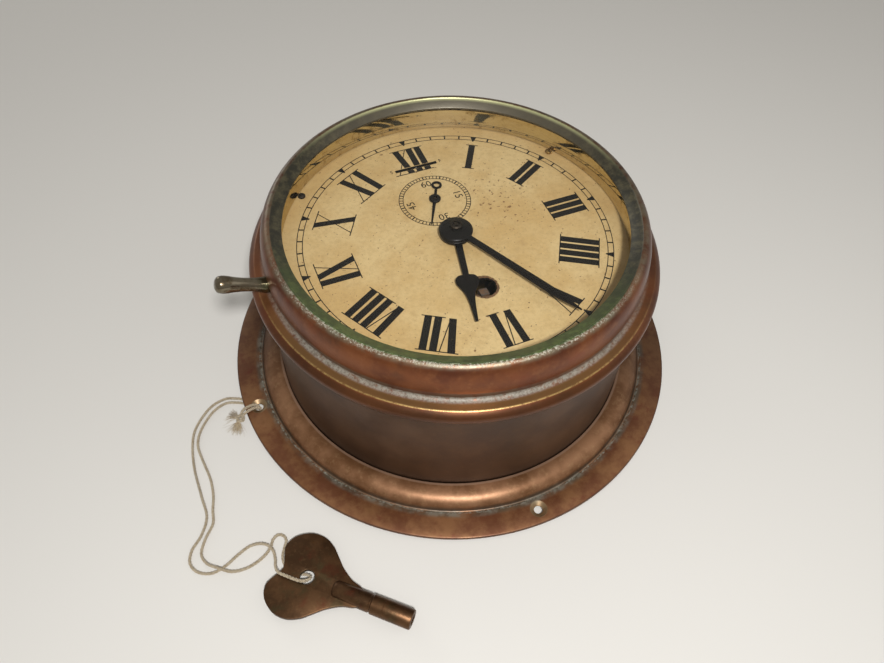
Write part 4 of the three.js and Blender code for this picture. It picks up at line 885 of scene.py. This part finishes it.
def build_seconds_hand(material):
    low, high = DIAL_FACE + 0.6, DIAL_FACE + 1.1
    bm = bmesh.new()
    add_plate(bm, mirrored([(1.8, -0.75), (16.1, -0.3)]), [], low, high, 0.08)
    add_plate(bm, mirrored([(-7.0, -0.55), (-1.8, -0.6)]), [], low, high, 0.08)
    add_plate(bm, circle(2.4, 32, (-9, 0)), [circle(1.3, 32, (-9, 0))], low, high, 0.08)
    hub = [(1.1, low - 0.1), (2.5, low - 0.1), (2.6, low), (2.6, high + 0.2), (2.3, high + 0.4),
           (1.1, high + 0.4)]
    add_turned(bm, hub, SMALL_SIDES)
    mesh = finish_mesh(bm, "seconds", hand_place(SECONDS_CENTRE, SHOWN_SECONDS / 60))
    dress("seconds_hand", mesh, material, "seconds")


def build_hour_hand(material):
    low, high = DIAL_FACE + 1.8, DIAL_FACE + 2.5
    bulb = rounded([(24.1, -1.25), (24.6, -3.4), (26.4, -4.7), (28.6, -4.6), (31.0, -3.4), (33.6, -2.2),
                    (38, -1.35), (48.2, -0.6)], 5)
    bm = bmesh.new()
    add_plate(bm, mirrored([(5.5, -1.55), (22.5, -1.3), *bulb]), [], low, high, 0.12)
    hub = [(3.6, low - 0.2), (6.9, low - 0.2), (7, low), (7, high + 0.3), (6.7, high + 0.5),
           (3.6, high + 0.5)]
    add_turned(bm, hub, 96)
    mesh = finish_mesh(bm, "hour", hand_place((0, 0), (SHOWN_HOUR + SHOWN_MINUTES / 60) / 12))
    dress("hour_hand", mesh, material, "hour")


def build_minute_hand(material):
    low, high = DIAL_FACE + 3.6, DIAL_FACE + 6.0
    bm = bmesh.new()
    add_plate(bm, mirrored([(5.5, -1.35), (51.8, -1.85), (64.8, -0.2)]), [], low + 0.3, low + 1.0, 0.12)
    dome = rounded([(7.3, low + 0.5), (6.95, low + 1.0), (5.8, low + 1.5), (4.2, low + 2.0), (2.6, high)], 3)
    add_turned(bm, [(2.5, low), (7.1, low), (7.3, low + 0.2), *dome, (2.5, high)], 96)
    mesh = finish_mesh(bm, "minute", hand_place((0, 0), SHOWN_MINUTES / 60))
    dress("minute_hand", mesh, material, "minute")


def build_hand_nut(material):
    low = DIAL_FACE + 6.3
    profile = [(1.5, low), (2.5, low), (2.6, low + 0.15), (2.6, low + 0.8), (2.3, low + 1.2),
               (1.8, low + 1.4), (1.5, low + 1.4)]
    dress("hand_nut", turned("nut", profile, SMALL_SIDES), material, "minute")


# Winding key
def key_place():
    return (Matrix.Translation(KEY_END) @ Matrix.Rotation(KEY_TURN, 4, "Z")
            @ Matrix.Rotation(-KEY_TILT, 4, "Y"))


def build_key_bow(material):
    side = rounded([(-23.0, 3.8), (-24.2, 4.3), (-28, 5.3), (-33.5, 8.5), (-37.6, 12.1), (-41.5, 15.4),
                    (-46.5, 17.5), (-52.4, 17.2), (-58.2, 13.4), (-60.1, 8.5), (-58.8, 4.9),
                    (-57.4, 2.2)], 6)
    outer = [(-22.0, 3.5), *side, (-56.7, 0), *[(x, -y) for x, y in reversed(side)], (-22.0, -3.5)]
    bm = bmesh.new()
    add_plate(bm, outer, [circle(3, 40, (-46, 0))], -1, 1, 0.22)
    dress("winding_key_bow", finish_mesh(bm, "bow", key_place()), material, "case")


def build_key_pipe(material):
    shaft = [(0, -34), (2.9, -34), (3.2, -33.7), (3.7, -32.8), (3.8, -18.2), (3.5, -17.9), (3.5, -17.4),
             (3.75, -17.2), (4, -16.9), (4, -12.1), (3.9, -12.0), (4, -11.9), (4, -0.5), (3.8, -0.1),
             (3.6, 0), (0, 0)]
    along = key_place() @ Matrix.Rotation(math.pi / 2, 4, "Y")
    socket = box_mesh((-19, -2, -2), (1, 2, 2), key_place())
    slot = box_mesh((-35, -9, -1.3), (-21.7, 9, 1.3), key_place())
    mesh = cut(turned("pipe", shaft, SMALL_SIDES, transform=along), socket, slot)
    dress("winding_key_pipe", mesh, material, "case")


# Cord: the chosen points of its route, repeated from the CAD source
CORD_ROUTE = [
    (-105.2, 1.9, 0.75), (-108.4, 3.7, 0.75), (-113.2, 5.3, 0.75), (-119.8, 3.8, 0.75), (-125.6, -0.9, 0.75),
    (-130.4, -7.4, 0.75), (-132.7, -15.4, 0.75), (-133.8, -26.0, 0.75), (-133.4, -40.0, 0.75),
    (-133.2, -50.6, 0.75), (-137.0, -57.8, 0.75), (-141.8, -62.8, 0.75),
    (-143.4, -67.6, 0.75), (-141.4, -72.2, 0.75), (-136.2, -75.0, 0.75), (-130.4, -74.2, 0.75),
    (-124.4, -71.4, 0.75), (-119.0, -69.6, 0.85), (-114.8, -70.4, 1.7), (-111.9, -72.6, 2.5),
    (-110.4, -75.6, 2.55), (-110.4, -79.6, 2.7), (-111.0, -83.3, 4.0), (-110.4, -86.3, 5.2),
    (-108.0, -88.8, 5.35), (-105.4, -91.2, 5.4), (-103.2, -92.9, 5.3), (-101.1, -93.4, 4.6),
    (-99.5, -92.8, 3.5), (-99.0, -91.4, 2.2), (-100.3, -89.9, 1.35), (-103.0, -88.4, 1.1),
    (-106.0, -85.9, 1.05), (-107.6, -82.2, 0.9), (-107.3, -78.4, 0.75), (-105.6, -75.2, 0.75),
    (-104.3, -72.5, 0.75), (-105.0, -70.1, 0.75), (-107.1, -69.1, 0.75), (-109.4, -70.4, 0.75),
    (-111.0, -73.0, 0.75), (-113.6, -75.3, 0.75), (-117.6, -77.2, 0.75),
    (-122.9, -78.2, 0.8), (-128.4, -77.6, 1.6), (-132.8, -74.6, 2.55), (-136.9, -70.6, 1.7),
    (-138.3, -65.6, 0.85), (-135.7, -60.0, 0.75), (-131.2, -54.0, 0.75), (-130.2, -48.4, 0.75),
    (-128.6, -41.6, 0.75), (-128.2, -33.4, 0.75), (-129.6, -22.8, 0.75), (-130.2, -15.2, 0.75),
    (-128.6, -9.6, 0.75), (-124.4, -3.6, 0.75), (-119.2, 1.0, 0.75), (-113.4, 2.8, 0.75),
    (-108.8, 1.4, 0.75), (-105.3, -0.5, 0.75),
]
FIRST_STRAND = [
    (-108.3, -7.3, 3.6), (-106.5, -5.9, 4.35), (-103.6, -5.1, 4.35), (-101.5, -4.8, 3.8),
    (-100.2, -4.9, 2.7), (-99.8, -5.0, 1.7), (-100.0, -4.6, 0.85), (-101.2, -3.1, 0.75), (-104.9, 1.6, 0.75),
]
SECOND_STRAND = [
    (-108.2, -8.9, 3.6), (-106.2, -8.0, 4.35), (-103.3, -7.0, 4.35), (-101.0, -6.6, 3.8),
    (-99.5, -6.6, 2.7), (-99.3, -6.5, 1.7), (-99.6, -6.1, 0.85), (-101.2, -4.6, 0.75), (-105.0, -0.8, 0.75),
]
CORD_SIDES = 12
PLIES = 3
PLY_RADIUS = 0.36
TWIST_LENGTH = 4.2

# The knot's middle, its turns and the tips of its frayed ends
KNOT_PLACE = Vector((-109.3, -8.5, 2.45))
KNOT_TURNS = 3
KNOT_STEPS = 20
FRAYED_TIPS = [Vector((-113.8, -3.0, 1.1)), Vector((-113.6, -15.4, 1.1))]
FIBRES = 110
FIBRE_RADIUS = 0.09


def ply_radius(angle):
    """Radius of the twisted cord's outline, three touching plies."""
    off = (angle % (2 * math.pi / PLIES)) - math.pi / PLIES
    reach = CORD_DIAMETER / 2 - PLY_RADIUS
    return reach * math.cos(off) + math.sqrt(PLY_RADIUS ** 2 - (reach * math.sin(off)) ** 2)


def add_cord(bm, points):
    """Sweeps the twisted outline along the points."""
    normal = Vector((0, 0, 1))
    travelled = 0.0
    rings = []
    for i, point in enumerate(points):
        ahead = points[min(i + 1, len(points) - 1)] - points[max(i - 1, 0)]
        along = ahead.normalized()
        normal = (normal - along * normal.dot(along)).normalized()
        across = along.cross(normal)
        if i:
            travelled += (point - points[i - 1]).length
        twist = 2 * math.pi * travelled / TWIST_LENGTH
        ring = []
        for k in range(CORD_SIDES):
            angle = 2 * math.pi * k / CORD_SIDES
            out = normal * math.cos(angle + twist) + across * math.sin(angle + twist)
            ring.append(bm.verts.new(point + out * ply_radius(angle)))
        rings.append(ring)
    add_tube(bm, rings)


def add_fibre(bm, start, end, droop):
    """A loose cotton fibre, thinning to its tip."""
    rings = []
    for i, point in enumerate((start, (start + end) / 2 + droop, end)):
        size = FIBRE_RADIUS * (1 - 0.4 * i)
        around = [Vector((math.cos(a), math.sin(a) * 0.6, math.sin(a))) for a in (0.3, 2.4, 4.5)]
        rings.append([bm.verts.new(point + out * size) for out in around])
    add_tube(bm, rings)


def build_knot(material):
    bm = bmesh.new()
    for strand in (FIRST_STRAND, SECOND_STRAND):
        add_cord(bm, catmull_rom(strand, 8))
    loop = []
    for i in range(KNOT_TURNS * KNOT_STEPS + 1):
        angle = 2 * math.pi * i / KNOT_STEPS
        wide = 1.35 + 0.3 * math.cos(angle * 1.5)
        lift = -0.45 + 0.85 * math.sin(angle * 1.5)
        loop.append(KNOT_PLACE + Vector((wide * math.cos(angle), wide * math.sin(angle), lift)))
    add_cord(bm, loop)
    return dress("cord_knot", finish_mesh(bm, "knot"), material, "case")


def build_frayed_ends(material):
    bm = bmesh.new()
    loose = random.Random(11)
    for tip in FRAYED_TIPS:
        start = KNOT_PLACE + (tip - KNOT_PLACE) * 0.2
        reach = tip - start
        aside = Vector((-reach.y, reach.x, 0)).normalized()
        for _ in range(FIBRES):
            spread = loose.gauss(0, 0.4)
            lift = abs(loose.gauss(0, 0.35))
            end = start + reach * loose.uniform(0.55, 1.05) + aside * spread * reach.length * 0.8
            end.z = 0.15 + lift
            root = start + aside * loose.uniform(-0.45, 0.45) + Vector((0, 0, loose.uniform(-0.4, 0.4)))
            droop = Vector((0, 0, loose.uniform(-0.1, 0.5))) + aside * loose.gauss(0, 0.3)
            add_fibre(bm, root, end, droop)
    return add_piece("cord_frayed_ends", finish_mesh(bm, "fibres"), material, "case")


def build_cord(material, with_pieces):
    path = catmull_rom(CORD_ROUTE, 14)
    bm = bmesh.new()
    add_cord(bm, path)
    piece = dress("key_cord", finish_mesh(bm, "cord"), material, "case")


# Movement: the CAD's own solids with finished metals
def dress_movement(brass, steel, rusty, dark):
    brass_nodes = ("back_plate", "front_plate", "barrel_with_great_wheel", "barrel_cover", "centre_wheel",
                   "third_wheel", "fourth_wheel", "escape_wheel", "minute_wheel", "hour_wheel",
                   "escapement_bridge", "balance_wheel", "balance_cock")
    steel_nodes = ("mainspring", "ratchet_wheel", "click", "click_stud", "cannon_pinion",
                   "minute_wheel_stud", "third_arbor", "escape_arbor", "pallet_lever",
                   "pallet_arbor", "balance_staff", "hairspring", "regulator_index",
                   *(f"pillar_nut_{i}" for i in (1, 2, 3, 4)))
    dark_nodes = ("centre_arbor", "fourth_arbor")
    groups = ((brass_nodes, brass), (steel_nodes, steel), (("winding_arbor",), rusty), (dark_nodes, dark))
    for names, material in groups:
        for name in names:
            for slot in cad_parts[name].material_slots:
                slot.material = material


# Stage, light and camera
FLOOR_HALF = 4000
FLOOR_DEPTH = 20
AMBIENT = 0.31
BACKGROUND = 0.5

# Lamps: name, place and size in metres, watts
LAMPS = (
    ("key_softbox", (-0.085, -0.37, 0.55), 0.07, 3.5),
    ("fill_softbox", (0.95, -0.35, 0.7), 0.8, 0.8),
    ("back_softbox", (-0.4, 1.1, 0.35), 0.6, 1.4),
)
LAMPS_AIM = Vector((0, 0, 0.05))

# The photograph's camera, fitted to the clock's known circles
CAMERA_PLACE = Vector((-92.5, -200.8, 299.2))
CAMERA_RIGHT = Vector((0.9271, -0.3743, 0.0212))
CAMERA_BACK = Vector((-0.2411, -0.5519, 0.7981))
CAMERA_LENS = 29.73


def build_floor():
    low, high = (-FLOOR_HALF, -FLOOR_HALF, -FLOOR_DEPTH), (FLOOR_HALF, FLOOR_HALF, 0)
    floor = link("floor", box_mesh(low, high))
    g = Graph("pale_floor", roughness=0.9)
    g.paint(colour("dedbd5"))
    floor.data.materials.append(g.material)


def build_room():
    """A plain pale background, brighter where the camera or a reflection sees it than as light."""
    world = bpy.data.worlds.new("pale_room")
    world.use_nodes = True
    nodes, links = world.node_tree.nodes, world.node_tree.links
    ray = nodes.new("ShaderNodeLightPath")
    seen = ray.outputs["Is Camera Ray"]
    for kind in ("Is Glossy Ray", "Is Transmission Ray"):
        either = nodes.new("ShaderNodeMath")
        either.operation = "MAXIMUM"
        links.new(seen, either.inputs[0])
        links.new(ray.outputs[kind], either.inputs[1])
        seen = either.outputs[0]
    strength = nodes.new("ShaderNodeMapRange")
    strength.inputs["To Min"].default_value = AMBIENT
    strength.inputs["To Max"].default_value = BACKGROUND
    links.new(seen, strength.inputs["Value"])
    background = nodes["Background"]
    background.inputs["Color"].default_value = colour("efece6")
    links.new(strength.outputs[0], background.inputs["Strength"])
    bpy.context.scene.world = world


def build_lights():
    for name, place, size, watts in LAMPS:
        lamp = bpy.data.lights.new(name, "AREA")
        lamp.shape = "DISK"
        lamp.size = size
        lamp.energy = watts
        holder = link(name, lamp)
        holder.location = place
        holder.rotation_euler = (LAMPS_AIM - Vector(place)).to_track_quat("-Z", "Y").to_euler()


def build_camera():
    data = bpy.data.cameras.new("photo_camera")
    data.sensor_width = 36
    data.sensor_fit = "HORIZONTAL"
    data.lens = CAMERA_LENS
    data.clip_start = 0.01
    back = CAMERA_BACK.normalized()
    right = (CAMERA_RIGHT - back * CAMERA_RIGHT.dot(back)).normalized()
    up = back.cross(right)
    camera = link("photo_camera", data)
    axes = Matrix((right, up, back)).transposed().to_4x4()
    camera.matrix_world = Matrix.Translation(CAMERA_PLACE * MM) @ axes
    bpy.context.scene.camera = camera


def main():
    build_camera()
    build_floor()
    build_room()
    build_lights()
    bpy.context.scene.view_settings.view_transform = "Standard"

    cord_cotton = cotton("twisted_cotton", "b9ab92", "8d7c62")
    frayed_cotton = cotton("frayed_cotton", "b5a486", "85725a")
    build_cord(cord_cotton, (build_knot(cord_cotton), build_frayed_ends(frayed_cotton)))

    build_flange(flange_brass())
    build_drum(drum_brass())
    back_brass = plain_metal("dark_back_brass", "3a2a1d", "4a3524", "6b4f36", 20, (0.4, 0.62), 0.75)
    build_back(back_brass, plain_metal("screw_brass", "6d5534", "8a6c41", "4c3823", 4, (0.3, 0.5)))
    build_bezel(bezel_brass())
    build_handle(handle_nickel())
    build_glazing(clear_glass(), dirty_rubber(), polished_brass())

    dark_steel = plain_metal("dark_screw_steel", "2c2620", "3d352c", "5c4a36", 3, (0.4, 0.6))
    screw_brass = plain_metal("brass_screw", "8d7040", "b08f55", "6d5532", 3, (0.25, 0.45))
    build_dial(dial_paint())
    build_print(dial_ink())
    build_dial_screws((dark_steel, screw_brass, screw_brass))
    hands = black_hands()
    for build_hand in (build_seconds_hand, build_hour_hand, build_minute_hand):
        build_hand(hands)
    build_hand_nut(dark_steel)

    bronze = key_bronze()
    build_key_bow(bronze)
    build_key_pipe(bronze)
    turned_brass = turned_metal("turned_brass", "8f7440", "b7965a", "6f5a34", (0.22, 0.42))
    turned_steel = turned_metal("turned_steel", "6f7072", "92938f", "56493c", (0.25, 0.45))
    dress_movement(turned_brass, turned_steel, rusty_steel(), dark_steel)


main()
